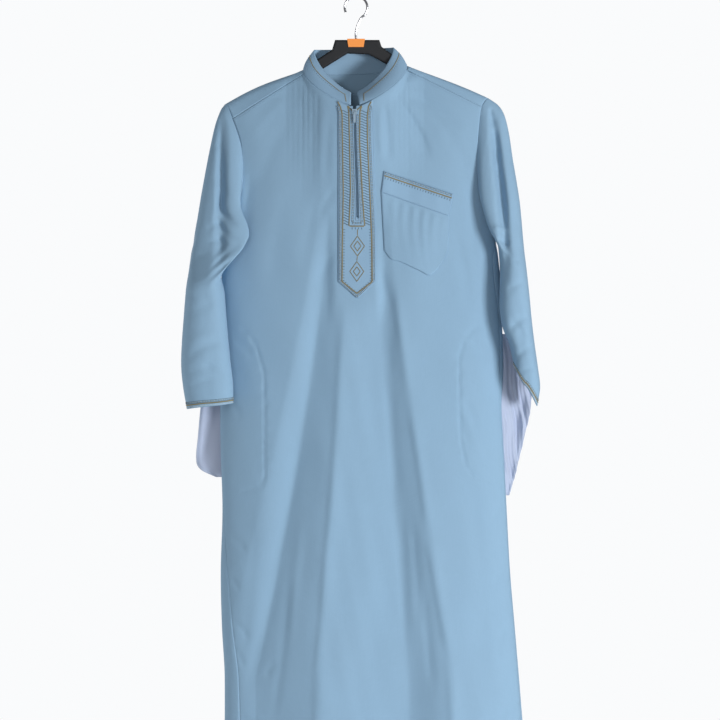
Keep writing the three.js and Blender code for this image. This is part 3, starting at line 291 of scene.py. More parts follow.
# Creases: x, z at the start, x, z at the end, bow to the right, depth, width to the left, width to the right
frontCreases = [
    # along the two troughs: their bottoms and their crisp right edges
    [-62, -500, -100, -800, 3, 1.6, 9, 14], [-92, -740, -150, -1040, 4, 2.4, 12, 12],
    [-128, -960, -196, -1240, 4, 2, 12, 12], [-26, -560, -38, -820, 2, -1.6, 6, 14],
    [-34, -740, -56, -1010, 3, -2.2, 6, 15], [-50, -930, -70, -1200, 2, -2.2, 6, 16],
    [-64, -1100, -80, -1500, 2, -2.4, 7, 18], [-92, -900, -118, -1160, -3, -1.6, 9, 9],
    [-112, -1000, -150, -1300, 3, 1.8, 9, 7], [46, -470, 62, -700, 2, 1.4, 8, 10],
    [58, -660, 76, -900, -2, 1.8, 9, 9], [76, -880, 88, -1150, 2, 1.8, 10, 9],
    [64, -500, 92, -720, 2, -1.6, 6, 12], [90, -690, 128, -960, 2, -2.2, 6, 13],
    [124, -930, 168, -1180, -2, -2.4, 6, 14], [160, -1130, 176, -1450, 2, -2.2, 7, 16],
    [96, -900, 112, -1120, 2, 1.6, 7, 8], [118, -1010, 136, -1230, -2, 1.6, 7, 8],
    [-176, -900, -206, -1200, 3, 1.4, 14, 10], [20, -560, 30, -900, 3, 0.8, 22, 14],
    [10, -760, 22, -1200, -4, -0.9, 26, 20], [200, -820, 226, -1200, 4, 1.4, 16, 12],
    # chest: from under the collar down to the pocket and the armholes
    [62, -166, 132, -292, 8, 3, 12, 7], [74, -176, 168, -262, 9, -1.8, 14, 10],
    [84, -170, 196, -236, 8, 1.9, 12, 9], [50, -176, 58, -300, 2, 2.6, 7, 6],
    [42, -186, 46, -296, -2, -1.6, 6, 6], [108, -188, 206, -330, 14, 1.6, 14, 12],
    [-44, -190, -52, -330, -2, 0.8, 7, 6], [-56, -182, -62, -352, -3, -0.6, 8, 9],
    [-68, -176, -80, -340, -4, 0.5, 9, 9], [-84, -170, -112, -320, -8, 0.5, 10, 14],
    [-112, -170, -190, -262, -8, -0.9, 10, 12], [-106, -200, -178, -352, -8, 0.8, 12, 14],
    [-60, -330, -96, -500, -4, 1.2, 12, 15], [-120, -330, -150, -520, -4, 1.0, 14, 18],
    [-186, -300, -196, -470, -3, 2, 10, 12], [196, -300, 208, -470, 3, 2, 12, 10],
    [60, -500, 66, -620, 1, 1.6, 9, 9], [170, -400, 200, -560, 5, 1.6, 14, 10],
    # pulls beside the placket and at the side pockets
    [-34, -330, -66, -400, -4, 1.2, 6, 9], [-34, -440, -70, -520, -6, 1.5, 7, 10],
    [36, -470, 62, -560, 4, 1.3, 8, 8], [186, -702, 214, -764, 3, 2.2, 7, 8],
    [176, -726, 200, -800, 2, 1.6, 7, 8], [-222, -708, -202, -742, 2, 2, 6, 6],
    [-216, -600, -176, -640, 3, 1.4, 7, 7], [196, -596, 240, -640, -2, 1.6, 7, 7],
    # puckers at the side seams
    [-224, -948, -190, -974, 2, 2.4, 5, 5], [-222, -1021, -203, -1044, 2, 2.2, 5, 5],
    [-224, -1000, -196, -996, 1, -1.4, 6, 6], [-220, -1092, -186, -1130, 3, 1.8, 6, 6],
    [-215, -1140, -196, -1180, 2, 1.6, 6, 6], [-159, -1196, -140, -1166, 2, 1.8, 6, 6],
    [262, -892, 238, -916, -2, 2.2, 5, 5], [268, -1004, 240, -1026, -2, 2.2, 5, 5],
    [276, -1104, 246, -1128, -2, 2.2, 6, 6], [280, -1130, 252, -1160, -2, -1.5, 6, 6],
    [286, -1230, 250, -1270, -3, 2, 6, 6], [-206, -1260, -176, -1300, 3, 2, 6, 6],
]
backCreases = [
    [-70, -330, -96, -620, -4, 2.2, 8, 10], [-92, -560, -124, -900, -4, 3, 9, 8],
    [-120, -840, -146, -1300, 3, 3.2, 10, 8], [6, -300, 14, -640, 3, 2.2, 9, 9], [12, -600, 22, -1000, -3, 3, 8, 10],
    [20, -950, 34, -1480, 4, 3, 10, 9], [86, -330, 112, -620, 4, 2.2, 9, 8], [108, -580, 150, -960, 4, 3, 8, 10],
    [146, -900, 186, -1420, -4, 3, 9, 11], [-40, -240, -110, -330, -8, 1.8, 12, 12],
    [40, -240, 112, -330, 8, 1.8, 12, 12], [-190, -330, -150, -520, 8, 1.8, 12, 12],
    [196, -330, 158, -520, -8, 1.8, 12, 12], [-226, -640, -196, -700, 3, 1.8, 7, 7],
    [246, -640, 210, -700, -3, 1.8, 7, 7], [-224, -960, -190, -990, 2, 2, 6, 6], [262, -960, 230, -990, -2, 2, 6, 6],
    [-226, -1180, -190, -1230, 2, 2, 6, 6], [280, -1180, 240, -1230, -2, 2, 6, 6],
    [-60, -700, -72, -1100, 3, -2, 14, 12], [70, -700, 84, -1100, -3, -2, 12, 14],
]
# Sleeve sections: seam z, outer x, outer z, inner x, half depth, middle y, closed, lap, groove, groove x
sleeveRows = {
    "left": np.array([
        [-222, -239, -200, -217, 14, 0, 0, 0, 0, -236], [-238, -248, -224, -209, 19, -1, 0.05, 0, 4, -236],
        [-262, -256, -262, -203, 25, -2, 0.15, 2, 8, -236], [-295, -264, -302, -202, 31, -4, 0.3, 4, 12, -236],
        [-330, -271, -342, -204, 36, -6, 0.42, 6, 14, -236], [-365, -277.5, -382, -209, 40, -8, 0.55, 12, 16, -236],
        [-395, -283, -412, -218, 43, -10, 0.7, 34, 12, -236], [-416, -286, -434, -228, 45, -12, 0.85, 50, 11, -236],
        [-432, -289, -448, -237, 46, -14, 1, 56, 8, -236], [-452, -291.5, -468, -239.5, 46, -22, 1, 44, 6, -236],
        [-472, -294, -488, -240, 45, -32, 1, 26, 5, -236], [-495, -297, -508, -236, 44, -42, 1, 8, 5, -236],
        [-520, -299, -528, -230, 43, -46, 1, 0, 1, -236], [-560, -302, -564, -227, 42, -49, 1, 0, 0, -236],
        [-605, -305, -607, -223, 41, -51, 1, 0, 0, -236], [-645, -306, -648, -219, 40, -52, 1, 0, 0, -236],
        [-680, -302.5, -686, -215, 39, -52, 1, 0, 0, -236], [-714, -296, -724, -215, 38, -52, 1, 0, 0, -236]]),
    "right": np.array([
        [-203, 250, -189, 220, 14, 0, 0, 0, 0, 241], [-220, 261, -207, 217, 19, -1, 0.05, 0, 4, 241],
        [-248, 269, -240, 215, 25, -2, 0.15, 0, 9, 243], [-280, 275, -282, 214.7, 31, -3, 0.3, 2, 13, 247],
        [-315, 281, -318, 216, 36, -5, 0.42, 3, 14, 251], [-350, 287, -356, 219, 40, -7, 0.55, 4, 15, 255],
        [-380, 290.5, -390, 227, 42, -9, 0.7, 6, 14, 258], [-405, 293, -420, 236, 43, -12, 0.85, 8, 12, 260],
        [-432, 295.5, -447, 248, 43, -14, 1, 8, 8, 262], [-452, 298, -468, 251, 42, -18, 1, 2, 5, 262],
        [-480, 301, -495, 252.5, 41, -22, 1, 0, 3, 262], [-515, 304.5, -530, 252, 39, -25, 1, 0, 0, 262],
        [-548, 308, -570, 252, 37, -27, 1, 0, 0, 262], [-580, 313, -612, 257, 35, -28, 1, 0, 0, 262],
        [-608, 319, -652, 268, 33, -28, 1, 0, 0, 262], [-630, 323, -686, 273, 31, -28, 1, 0, 0, 262],
        [-648, 318, -719, 277, 29, -28, 1, 0, 0, 262]]),
}
sleeveCreases = {
    "left": [
        [-258, -268, -236, -259, 1, 0.99, 5, 6.2], [-264, -330, -238, -318, 2, 0.66, 7.5, 7.5],
        [-263, -415, -234, -394, 2, 1.2, 5, 6.2], [-264, -433, -234, -428, 1, 1.1, 5, 5],
        [-290, -470, -250, -446, 4, 0.88, 7.5, 7.5], [-240, -478, -214, -462, 2, 1.3, 6.2, 6.2],
        [-292, -520, -244, -548, 5, 1.1, 8.8, 8.8], [-300, -560, -246, -530, -4, 0.88, 8.8, 8.8],
        [-304, -642, -224, -602, 6, 1.9, 7.5, 10], [-296, -612, -236, -588, 4, -0.99, 8.8, 8.8],
        [-302, -664, -240, -650, 3, 1.1, 6.2, 7.5], [-270, -640, -222, -668, -3, 1.1, 7.5, 6.2],
        [-292, -686, -250, -672, 2, 0.88, 6.2, 6.2], [-252, -600, -262, -700, 4, 0.77, 8.8, 10],
        [-248, -240, -258, -420, 3, 0.88, 11.2, 10],
    ],
    "right": [
        [236, -192, 241, -232, 0, 2.6, 4, 4], [242, -226, 249, -300, 1, 2.4, 4, 6],
        [248, -286, 260, -408, 2, 2.8, 5, 6], [262, -250, 276, -400, 3, -1.4, 9, 9],
        [238, -404, 268, -415, 1, -2.4, 4, 5], [246, -424, 268, -440, 2, 3, 5, 6],
        [256, -452, 290, -470, 2, 1.6, 6, 6], [262, -520, 300, -500, 3, 1.6, 6, 7],
        [264, -590, 306, -560, 4, 2.4, 6, 7], [268, -560, 304, -600, -3, 1.6, 6, 6],
        [274, -640, 314, -610, 3, 2, 6, 6], [282, -660, 316, -650, 1, 1.6, 5, 5],
        [280, -520, 290, -640, 3, 1.4, 8, 8],
    ],
}


def foldDepth(folds, x, z):
    # Sum of depth * g^0.6 * (0.4 * cos(pi/2 * s)^2 + 0.6 * (1 - s)), s = away / wide, g growing from 0 at
    # the top to 1 at the low end
    total = np.zeros(np.broadcast(x, z).shape)
    for topX, topZ, lowX, lowZ, bend, depth, leftWide, rightWide in folds:
        grown = np.clip((topZ - z) / (topZ - lowZ), 0, 1)
        away = x - (topX + (lowX - topX) * grown**bend)
        wide = np.where(away < 0, leftWide, rightWide) * (0.25 + 0.75 * grown)
        share = np.clip(np.abs(away) / wide, 0, 1)
        total += depth * grown**0.6 * mix(np.cos(share * math.pi / 2) ** 2, 1 - share, 0.6)
    return total


def creaseDepth(creases, x, z):
    # Sum of depth * exp(-(s / wide)^2) * fade, s across a bowed line and the fade rising from both its ends
    total = np.zeros(np.broadcast(x, z).shape)
    for x0, z0, x1, z1, bow, depth, leftWide, rightWide in creases:
        dx, dz = x1 - x0, z1 - z0
        length = math.hypot(dx, dz)
        t = ((x - x0) * dx + (z - z0) * dz) / length**2
        s = ((z - z0) * dx - (x - x0) * dz) / length - bow * np.sin(math.pi * np.clip(t, 0, 1))
        wide = np.where(s < 0, leftWide, rightWide)
        total += depth * np.exp(-(s / wide) ** 2) * ramp(0, 0.3, t) * ramp(0, 0.3, 1 - t)
    return total


def slack(x, z, seed=0.0):
    # Broad unevenness of hanging cloth: crossed sines that wander, about 1 mm high
    return (0.7 * np.sin(x / 29 + 1.7 * np.sin(z / 173 + 0.6 + seed)) * np.sin(z / 240 + 1.1)
            + 0.45 * np.sin(x / 15 - z / 210 + 2.2 * np.sin(z / 118 + seed))
            + 0.25 * np.sin(x / 8.5 + z / 33 + 2 * np.sin(x / 41 + seed)))


def across(x, z):
    left, right = along(bodyRows, 1, z), along(bodyRows, 2, z)
    return np.clip((2 * x - left - right) / (right - left), -1, 1)


def roundOff(q):
    # sqrt(1 - |q|^2.4)
    return np.sqrt(np.maximum(0, 1 - np.abs(q) ** sizes["flatness"]))


def neckPoint(loop, degrees, side):
    # Ellipse in plan; its height drops to the front by mix(cos, 1 - sin, roundness) and to the back by cos
    c, s = np.cos(np.radians(degrees)), np.sin(np.radians(degrees))
    drop = np.where(c > 0, loop["frontDrop"] * mix(c, 1 - s, loop["roundness"]), -loop["backDrop"] * c)
    return np.stack([loop["midX"] + side * loop["halfWidth"] * s, loop["midY"] - loop["halfDepth"] * c,
                     loop["z"] - drop + loop["tilt"] * side * s], -1)


def neckSeamZ(x):
    s = np.clip(np.abs(x - neck["midX"]) / neck["halfWidth"], 0, 1)
    c = np.sqrt(1 - s * s)
    return neck["z"] - neck["frontDrop"] * mix(c, 1 - s, neck["roundness"]), c


def neckThrow(x):
    # How far the neck seam lies in front of the body: midY - halfDepth * c - body, fading outside the neck
    seamZ, c = neckSeamZ(x)
    away = np.maximum(0, np.abs(x - neck["midX"]) - neck["halfWidth"])
    baseSeam = -along(bodyRows, 3, seamZ) * roundOff(across(x, seamZ))
    return (neck["midY"] - neck["halfDepth"] * c - baseSeam) * np.exp(-away / throw["aside"])


def plainFrontY(x, z):
    # Depth of the body, thrown forward to the neck seam, with its folds. Below the seam the throw
    # is a mean over x, so that the end of the neck leaves no edge
    girth = roundOff(across(x, z))
    seamZ, _ = neckSeamZ(x)
    spread = sum(neckThrow(x + step) for step in throw["meanOver"]) / len(throw["meanOver"])
    throwForward = mix(neckThrow(x), spread, ramp(0, throw["meanBelow"], seamZ - z))
    held = ((1 - ramp(hold["from"], hold["to"], np.abs(x)))
            * (1 - ramp(0, hold["fade"], placket["endZ"] - hold["below"] - z)))
    folds = foldDepth(frontFolds, x, z) * (1 - held) * girth
    return -along(bodyRows, 3, z) * girth + throwForward * (1 - ramp(0, throw["reach"], seamZ - z)) + folds


def awayFromArms(x, z, left, right):
    inside = ramp(0, free["armhole"], x - left) * ramp(0, free["armhole"], right - x)
    return np.where(z > sizes["armpitZ"], inside, 1)


def frontFree(x, z):
    # 0 at the seams of the front and 1 away from them, so that creases end at a seam
    left, right = along(armhole["left"], 1, z), along(armhole["right"], 1, z)
    arm = awayFromArms(x, z, left, right)
    seamZ, _ = neckSeamZ(x)
    side = np.where(x < neck["midX"], 0, 1)
    cornerZ = np.where(side, shoulders["right"]["frontZ"], shoulders["left"]["frontZ"])
    cornerX = np.where(side, armhole["right"][1, 1], armhole["left"][1, 1])
    share = np.clip((np.abs(x - neck["midX"]) - neck["halfWidth"]) / (np.abs(cornerX - neck["midX"])
                    - neck["halfWidth"]), 0, 1)
    top = np.where(share > 0, mix(seamZ, cornerZ, share), seamZ)
    beside = 1 - ramp(hold["creaseFrom"], hold["creaseTo"], np.abs(x - 1))
    underPlacket = 1 - hold["creaseShare"] * beside * ramp(-545, -520, z)
    return arm * ramp(0, free["top"], top - z) * underPlacket * roundOff(across(x, z)) ** 0.5


# Stitched outlines of the inner pockets, x and z
outlines = {
    "left": [(-231, -576), (-206, -579), (-190, -590), (-175, -613), (-161, -662), (-160, -730), (-160, -846),
             (-167, -860), (-200, -870), (-232, -856)],
    "right": [(246, -568), (216, -575), (190, -604), (181, -634), (182, -706), (184, -778), (192, -822),
              (206, -843), (226, -852), (262, -867)],
}


def awayFrom(path, x, z):
    # Distance to the nearest of a path's straight stretches
    nearest = np.full(np.broadcast(x, z).shape, 1e9)
    for (x0, z0), (x1, z1) in zip(path, path[1:]):
        dx, dz = x1 - x0, z1 - z0
        t = np.clip(((x - x0) * dx + (z - z0) * dz) / (dx * dx + dz * dz), 0, 1)
        nearest = np.minimum(nearest, np.hypot(x - x0 - t * dx, z - z0 - t * dz))
    return nearest


def outlineGroove(x, z):
    # A shallow groove under the stitches of each inner pocket, with puckers across it
    total = np.zeros(np.broadcast(x, z).shape)
    for path in outlines.values():
        far = awayFrom(path, x, z)
        pucker = np.sin(z / 4.1 + 1.5 * np.sin(x / 7 + z / 23)) * np.exp(-((far / 8) ** 2))
        total += 1.8 * np.exp(-((far / 2.4) ** 2)) + 0.7 * pucker
    return total


def pressed(distance):
    # A seam's groove: deep * exp(-|distance| / wide)
    return sizes["groove"] * np.exp(-np.abs(distance) / sizes["grooveWide"])


def sideGroove(x, z):
    # Grooves along both side seams, below the armpits
    left = along(bodyRows, 1, z) + along(bodyRows, 5, z)
    right = along(bodyRows, 2, z) - along(bodyRows, 6, z)
    return (pressed(x - left) + pressed(x - right)) * (1 - ramp(sizes["armpitZ"] - 6, sizes["armpitZ"], z))


def frontFace(x, z):
    # The plain front with its creases and slack
    x, z = np.asarray(x, float), np.asarray(z, float)
    return (plainFrontY(x, z) + (creaseDepth(frontCreases, x, z) + slack(x, z)) * frontFree(x, z)
            + sideGroove(x, z) + outlineGroove(x, z) * roundOff(across(x, z)))


def backFree(x, z):
    left, right = along(armhole["left"], 2, z), along(armhole["right"], 2, z)
    arm = awayFromArms(x, z, left, right)
    return arm * ramp(0, free["top"], yokeBackZ(x) - z) * roundOff(across(x, z)) ** 0.5


def plainBackY(x, z):
    return (along(bodyRows, 4, z) - foldDepth(backFolds, x, z)) * roundOff(across(x, z))


def backFace(x, z):
    return plainBackY(x, z) - (creaseDepth(backCreases, x, z) + slack(x, z, 2.0)) * backFree(x, z)


def armholeX(name, face, z):
    return along(armhole[name], 1 if face == "front" else 2, z)


def armholeCorner(name, face):
    z = shoulders[name][face + "Z"]
    x = armholeX(name, face, z)
    return np.array([x, plainFrontY(x, z) if face == "front" else plainBackY(x, z), z], float)


def yokeBackZ(x):
    # -168 at the middle, down to the armhole corner by (x / edge)^1.3
    x = np.asarray(x, float)
    leftEdge, rightEdge = (armholeX(name, "back", shoulders[name]["backZ"]) for name in ("left", "right"))
    share = np.clip(np.where(x < 0, x / leftEdge, x / rightEdge), 0, 1) ** 1.3
    return mix(-168, np.where(x < 0, shoulders["left"]["backZ"], shoulders["right"]["backZ"]), share)


def slitX(z):
    return zipper["topX"] + zipper["lean"] * (1 - ramp(zipper["slitEndZ"], -200, z))


def shoulderArc(name, t):
    # Half circle from the front corner over the shoulder tip to the back corner
    front, back = armholeCorner(name, "front"), armholeCorner(name, "back")
    tip = np.array(shoulders[name]["tip"], float)
    c, s = np.cos(math.pi * t)[..., None], np.sin(math.pi * t)[..., None]
    return front * (1 + c) / 2 + back * (1 - c) / 2 + (tip - (front + back) / 2) * s


# Meshes from grids
def normalsOf(points):
    # down x over of the neighbouring points, of length 1
    down = np.gradient(points, axis=0)
    over = np.gradient(points, axis=1)
    out = np.cross(down, over)
    return out / np.maximum(np.linalg.norm(out, axis=-1, keepdims=True), 1e-9)


def clothCoordinates(points):
    # Distances along the rows and down the columns from the grid's middle, in metres: the threads' own plane
    over = np.linalg.norm(np.diff(points, axis=1), axis=-1)
    down = np.linalg.norm(np.diff(points, axis=0), axis=-1)
    u = np.concatenate([np.zeros((len(points), 1)), np.cumsum(over, axis=1)], axis=1)
    v = np.concatenate([np.zeros((1, points.shape[1])), np.cumsum(down, axis=0)], axis=0)
    return np.stack([u - u[:, points.shape[1] // 2][:, None], v], -1) * toMetres


def addMesh(name, points, faces, material, uv=None, body="robe"):
    # Points in millimetres, faces as lists of corners
    mesh = bpy.data.meshes.new(name)
    mesh.from_pydata((points * toMetres).tolist(), [], faces)
    mesh.polygons.foreach_set("use_smooth", np.ones(len(faces), bool))
    if uv is not None:
        corners = np.zeros(len(mesh.loops), int)
        mesh.loops.foreach_get("vertex_index", corners)
        mesh.uv_layers.new(name="cloth").data.foreach_set("uv", uv[corners].ravel())
    mesh.materials.append(material)
    mesh.update()
    thing = bpy.data.objects.new(name, mesh)
    bpy.context.scene.collection.objects.link(thing)
    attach(thing, body)
    return thing


def clothOn(name, points, material, thickness=None, keep=None, normal=None):
    # A wall of cloth: the grid and the same grid moved in by the thickness, closed along every free edge
    thickness = sizes["cloth"] if thickness is None else thickness
    rows, columns = points.shape[0] - 1, points.shape[1] - 1
    out = normalsOf(points) if normal is None else normal
    inner = points - out * (thickness[..., None] if isinstance(thickness, np.ndarray) else thickness)
    keep = np.ones((rows, columns), bool) if keep is None else keep
    a = np.arange(rows)[:, None] * (columns + 1) + np.arange(columns)[None, :]
    b, c, d = a + 1, a + columns + 2, a + columns + 1
    far = (rows + 1) * (columns + 1)
    padded = np.pad(keep, 1)
    free = {"up": keep & ~padded[:-2, 1:-1], "low": keep & ~padded[2:, 1:-1],
            "left": keep & ~padded[1:-1, :-2], "right": keep & ~padded[1:-1, 2:]}
    quads = [np.stack([a, d, c, b], -1)[keep], np.stack([a, b, c, d], -1)[keep] + far]
    for where, (p, q) in {"up": (a, b), "low": (c, d), "left": (d, a), "right": (b, c)}.items():
        quads.append(np.stack([p, q, q + far, p + far], -1)[free[where]])
    faces = np.concatenate(quads)
    corners = np.concatenate([points.reshape(-1, 3), inner.reshape(-1, 3)])
    uv = np.tile(clothCoordinates(points).reshape(-1, 2), (2, 1))
    used, packed = np.unique(faces, return_inverse=True)
    return addMesh(name, corners[used], packed.reshape(faces.shape).tolist(), material, uv[used])


def refine(rows, count):
    # Grid rows joined by a cubic through the given ones, count steps between each pair
    last = len(rows) - 1
    place = np.linspace(0, last, last * count + 1)
    i = np.minimum(place.astype(int), last - 1)
    t = (place - i)[:, None, None]
    slope = np.gradient(rows, axis=0)
    return cubic(t, rows[i], rows[i + 1], slope[i], slope[i + 1])


# Front panel
frontGrid = {"halfColumns": 78, "upRows": 96, "lowRows": 196, "slitShare": 0.8135}


def frontTop(name, h):
    # The upper edge of one half: yoke seam, neck seam, then down to the slit; x and z
    side = shoulders[name]["sign"]
    k = h * 13
    corner, high = armholeCorner(name, "front"), neckPoint(neck, sizes["yokeStart"], side)
    seam = corner + (high - corner) * np.clip(k / 6, 0, 1)[..., None]
    turn = mix(sizes["yokeStart"], sizes["collarStart"], np.clip((k - 6) / 6, 0, 1))
    around = neckPoint(neck, turn, side)
    slitTop = np.array([slitX(zipper["topZ"]) + side * zipper["halfSlit"], 0, zipper["topZ"]])
    last = around + (slitTop - around) * np.clip(k - 12, 0, 1)[..., None]
    return np.where((k <= 6)[..., None], seam, last)


def frontHalf(name):
    # Coons patch above the armpit, rows across the body below it; x and z of the grid
    side = shoulders[name]["sign"]
    h = np.linspace(0, 1, frontGrid["halfColumns"] + 1)[None, :]
    v = np.linspace(0, 1, frontGrid["upRows"] + 1)[:, None]
    armpitZ, hemZ, gap = sizes["armpitZ"], sizes["hemZ"], sizes["seamGap"]

    def spread(z):
        edge = (along(bodyRows, 1, z) + along(bodyRows, 5, z) + gap if side < 0
                else along(bodyRows, 2, z) - along(bodyRows, 6, z) - gap)
        return mix(edge, slitX(z) + side * zipper["halfSlit"], h ** sizes["cluster"])

    top = frontTop(name, h)
    corner, inner = top[:, :1], top[:, -1:]
    edgeZ = mix(shoulders[name]["frontZ"], armpitZ, v)
    edgeX = armholeX(name, "front", edgeZ)
    innerZ = mix(zipper["topZ"], armpitZ, v)
    innerX = slitX(innerZ) + side * zipper["halfSlit"]
    bottomX = mix(armholeX(name, "front", armpitZ), slitX(armpitZ) + side * zipper["halfSlit"], h)
    x = (mix(top[..., 0], spread(np.full((1, 1), armpitZ, float)), v) + mix(edgeX, innerX, h)
         - mix(mix(corner[..., 0], inner[..., 0], h), bottomX, v))
    z = (mix(top[..., 2], armpitZ, v) + mix(edgeZ, innerZ, h)
         - mix(mix(corner[..., 2], inner[..., 2], h), armpitZ, v)) - gap * (1 - v) ** 6
    lowZ = mix(armpitZ, hemZ, np.linspace(0, 1, frontGrid["lowRows"] + 1)[1:, None])
    return np.concatenate([x, spread(lowZ)]), np.concatenate([z, lowZ + 0 * h])


leftX, leftZ = frontHalf("left")
rightX, rightZ = frontHalf("right")
gridX = np.concatenate([leftX, rightX[:, ::-1]], axis=1)
gridZ = np.concatenate([leftZ, rightZ[:, ::-1]], axis=1)
frontPoints = np.stack([gridX, frontFace(gridX, gridZ), gridZ], -1)
slitRow = int(round(frontGrid["slitShare"] * frontGrid["upRows"]))
frontKeep = np.ones((len(gridX) - 1, gridX.shape[1] - 1), bool)
frontKeep[:slitRow, frontGrid["halfColumns"]] = False
cloth = {"front_panel": clothOn("robe_front", frontPoints, finishes["robe"], keep=frontKeep)}
print("front made")

# Back panel
backGrid = {"columns": 150, "upRows": 90, "lowRows": 190}


def backTurn(z, t):
    # x on the rounded section at share t of the way round, and whether it lies on the front
    left, right = along(bodyRows, 1, z), along(bodyRows, 2, z)
    half = (right - left) / 2
    turn = [np.arccos(np.clip((1 - along(bodyRows, column, z) / half) ** (sizes["flatness"] / 2), -1, 1))
            for column in (5, 6)]
    angle = mix(-turn[0], math.pi + turn[1], t)
    c = np.cos(angle)
    return (left + right) / 2 - half * np.sign(c) * np.abs(c) ** (2 / sizes["flatness"]), np.sin(angle) < 0


t = np.linspace(0, 1, backGrid["columns"] + 1)[None, :]
v = np.linspace(0, 1, backGrid["upRows"] + 1)[:, None]
topX = np.where(t < 0.5, armholeCorner("left", "back")[0] * (1 - 2 * t),
                armholeCorner("right", "back")[0] * (2 * t - 1))
topZ = yokeBackZ(topX)
edges = {}
for name in ("left", "right"):
    edgeZ = mix(shoulders[name]["backZ"], sizes["armpitZ"], v)
    edges[name] = (armholeX(name, "back", edgeZ), edgeZ)
lowX = backTurn(np.full((1, 1), sizes["armpitZ"], float), t)[0]
upX = (mix(topX, lowX, v) + mix(edges["left"][0], edges["right"][0], t)
       - mix(mix(topX[:, :1], topX[:, -1:], t), mix(lowX[:, :1], lowX[:, -1:], t), v))
upZ = (mix(topZ, sizes["armpitZ"], v) + mix(edges["left"][1], edges["right"][1], t)
       - mix(mix(topZ[:, :1], topZ[:, -1:], t), sizes["armpitZ"], v)) - sizes["seamGap"] * (1 - v) ** 6
upY = np.maximum(backFace(upX, upZ), sizes["seamGap"] / 2)
lowZ = mix(sizes["armpitZ"], sizes["hemZ"], np.linspace(0, 1, backGrid["lowRows"] + 1)[1:, None]) + 0 * t
lowX, onFront = backTurn(lowZ, t)
lowY = np.where(onFront, frontFace(lowX, lowZ), backFace(lowX, lowZ))
lowY[:, [0, -1]] += sizes["seamGap"]
backPoints = np.concatenate([np.stack([upX, upY, upZ], -1), np.stack([lowX, lowY, lowZ], -1)])[:, ::-1]
cloth["back_panel"] = clothOn("robe_back", backPoints, finishes["robe"])
print("back made")

# Yoke
yokeGrid = {"shoulderColumns": 8, "backColumns": 24, "backTurn": 122, "rows": 40, "fine": 5}


def yokeHalf(name):
    # From the front seam (k = 0) over the shoulder to the middle of the back (k = 20)
    sign, crown = shoulders[name]["sign"], shoulders[name]["crown"]
    shoulderColumns, halfBack = yokeGrid["shoulderColumns"], yokeGrid["backColumns"] // 2
    k = np.linspace(0, shoulderColumns + halfBack, (shoulderColumns + halfBack) * yokeGrid["fine"] + 1)
    r = np.linspace(0, 1, yokeGrid["rows"] + 1)[:, None]
    neckTurn = np.where(k <= shoulderColumns,
                        mix(sizes["yokeStart"], yokeGrid["backTurn"], k / shoulderColumns),
                        mix(yokeGrid["backTurn"], 180, (k - shoulderColumns) / halfBack))
    inner = neckPoint(neck, neckTurn, sign)
    inner[..., 0] += sign * sizes["seamGap"] * np.abs(np.sin(np.radians(neckTurn)))
    inner[..., 1] -= sizes["seamGap"] * np.cos(np.radians(neckTurn))
    backX = armholeCorner(name, "back")[0] * (1 - np.clip((k - shoulderColumns) / halfBack, 0, 1))
    backZ = yokeBackZ(backX)
    outer = np.where((k <= shoulderColumns)[:, None], shoulderArc(name, np.clip(k / shoulderColumns, 0, 1)),
                     np.stack([backX, plainBackY(backX, backZ), backZ], -1))
    points = inner[None] * (1 - r[..., None]) + outer[None] * r[..., None]
    ridge = np.sin(math.pi * np.clip(k / shoulderColumns, 0, 1))
    points[..., 2] += crown * ridge * np.sin(math.pi * r**1.3)
    frontPart = np.maximum(0, 1 - k / 3) ** 2 * ramp(0, 0.2, r)
    points[..., 1] = mix(points[..., 1], plainFrontY(points[..., 0], points[..., 2]), frontPart)
    fan = np.sin(k * 1.9 + 2 * r + sign) * np.sin(math.pi * r) * np.sin(math.pi * np.clip(k / 20, 0, 1)) ** 0.5
    points[..., 2] -= 0.7 * fan + 0.3 * np.sin(k * 4.3 - 3 * r) * np.sin(math.pi * r)
    return points


leftYoke, rightYoke = yokeHalf("left"), yokeHalf("right")
yokePoints = np.concatenate([leftYoke, rightYoke[:, -2::-1]], axis=1)[:, ::-1]
cloth["yoke"] = clothOn("robe_yoke", yokePoints, finishes["robe"])

# Stand collar
collar = {"closer": 3.2, "columns": 220, "rows": 22, "bulge": 3, "thickness": 1.7}


def collarSurface(turn, r, out=0.0):
    # Between the collar's top edge (r = 0) and the neck seam (r = 1), bulging out by a sine
    side = np.where(turn <= 180, -1, 1)
    degrees = np.minimum(turn, 360 - turn)
    points = mix(neckPoint(collarTop, degrees, side), neckPoint(neck, degrees, side), r[..., None])
    wobble = 0.5 * np.sin(np.radians(turn) * 7 + 3 * r) * np.sin(math.pi * r)
    reachOut = collar["bulge"] * np.sin(math.pi * r) + wobble + out
    s, c = np.sin(np.radians(degrees)), np.cos(np.radians(degrees))
    points[..., 0] += side * reachOut * s
    points[..., 1] -= reachOut * c
    points[..., 0] -= side * collar["closer"] * np.exp(-((degrees - sizes["collarStart"]) / 7) ** 2)
    points[..., 2] += sizes["seamGap"] * r
    return points


turn = np.linspace(360 - sizes["collarStart"], sizes["collarStart"], collar["columns"] + 1)[None, :]
r = np.linspace(0, 1, collar["rows"] + 1)[:, None]
edgeRound = 0.35 * (np.exp(-r * 12) + np.exp(-(1 - r) * 16))
collarPoints = collarSurface(turn + 0 * r, r + 0 * turn, -edgeRound)
cloth["collar_band"] = clothOn("robe_collar", collarPoints, finishes["placket"],
                               collar["thickness"] - 2 * edgeRound + 0 * turn)
print("yoke and collar made")

# Sleeves
sleeve = {"columns": 132, "fine": 11, "boxy": 0.8, "lapAt": -20, "lapReach": 80, "grooveWidth": 8}


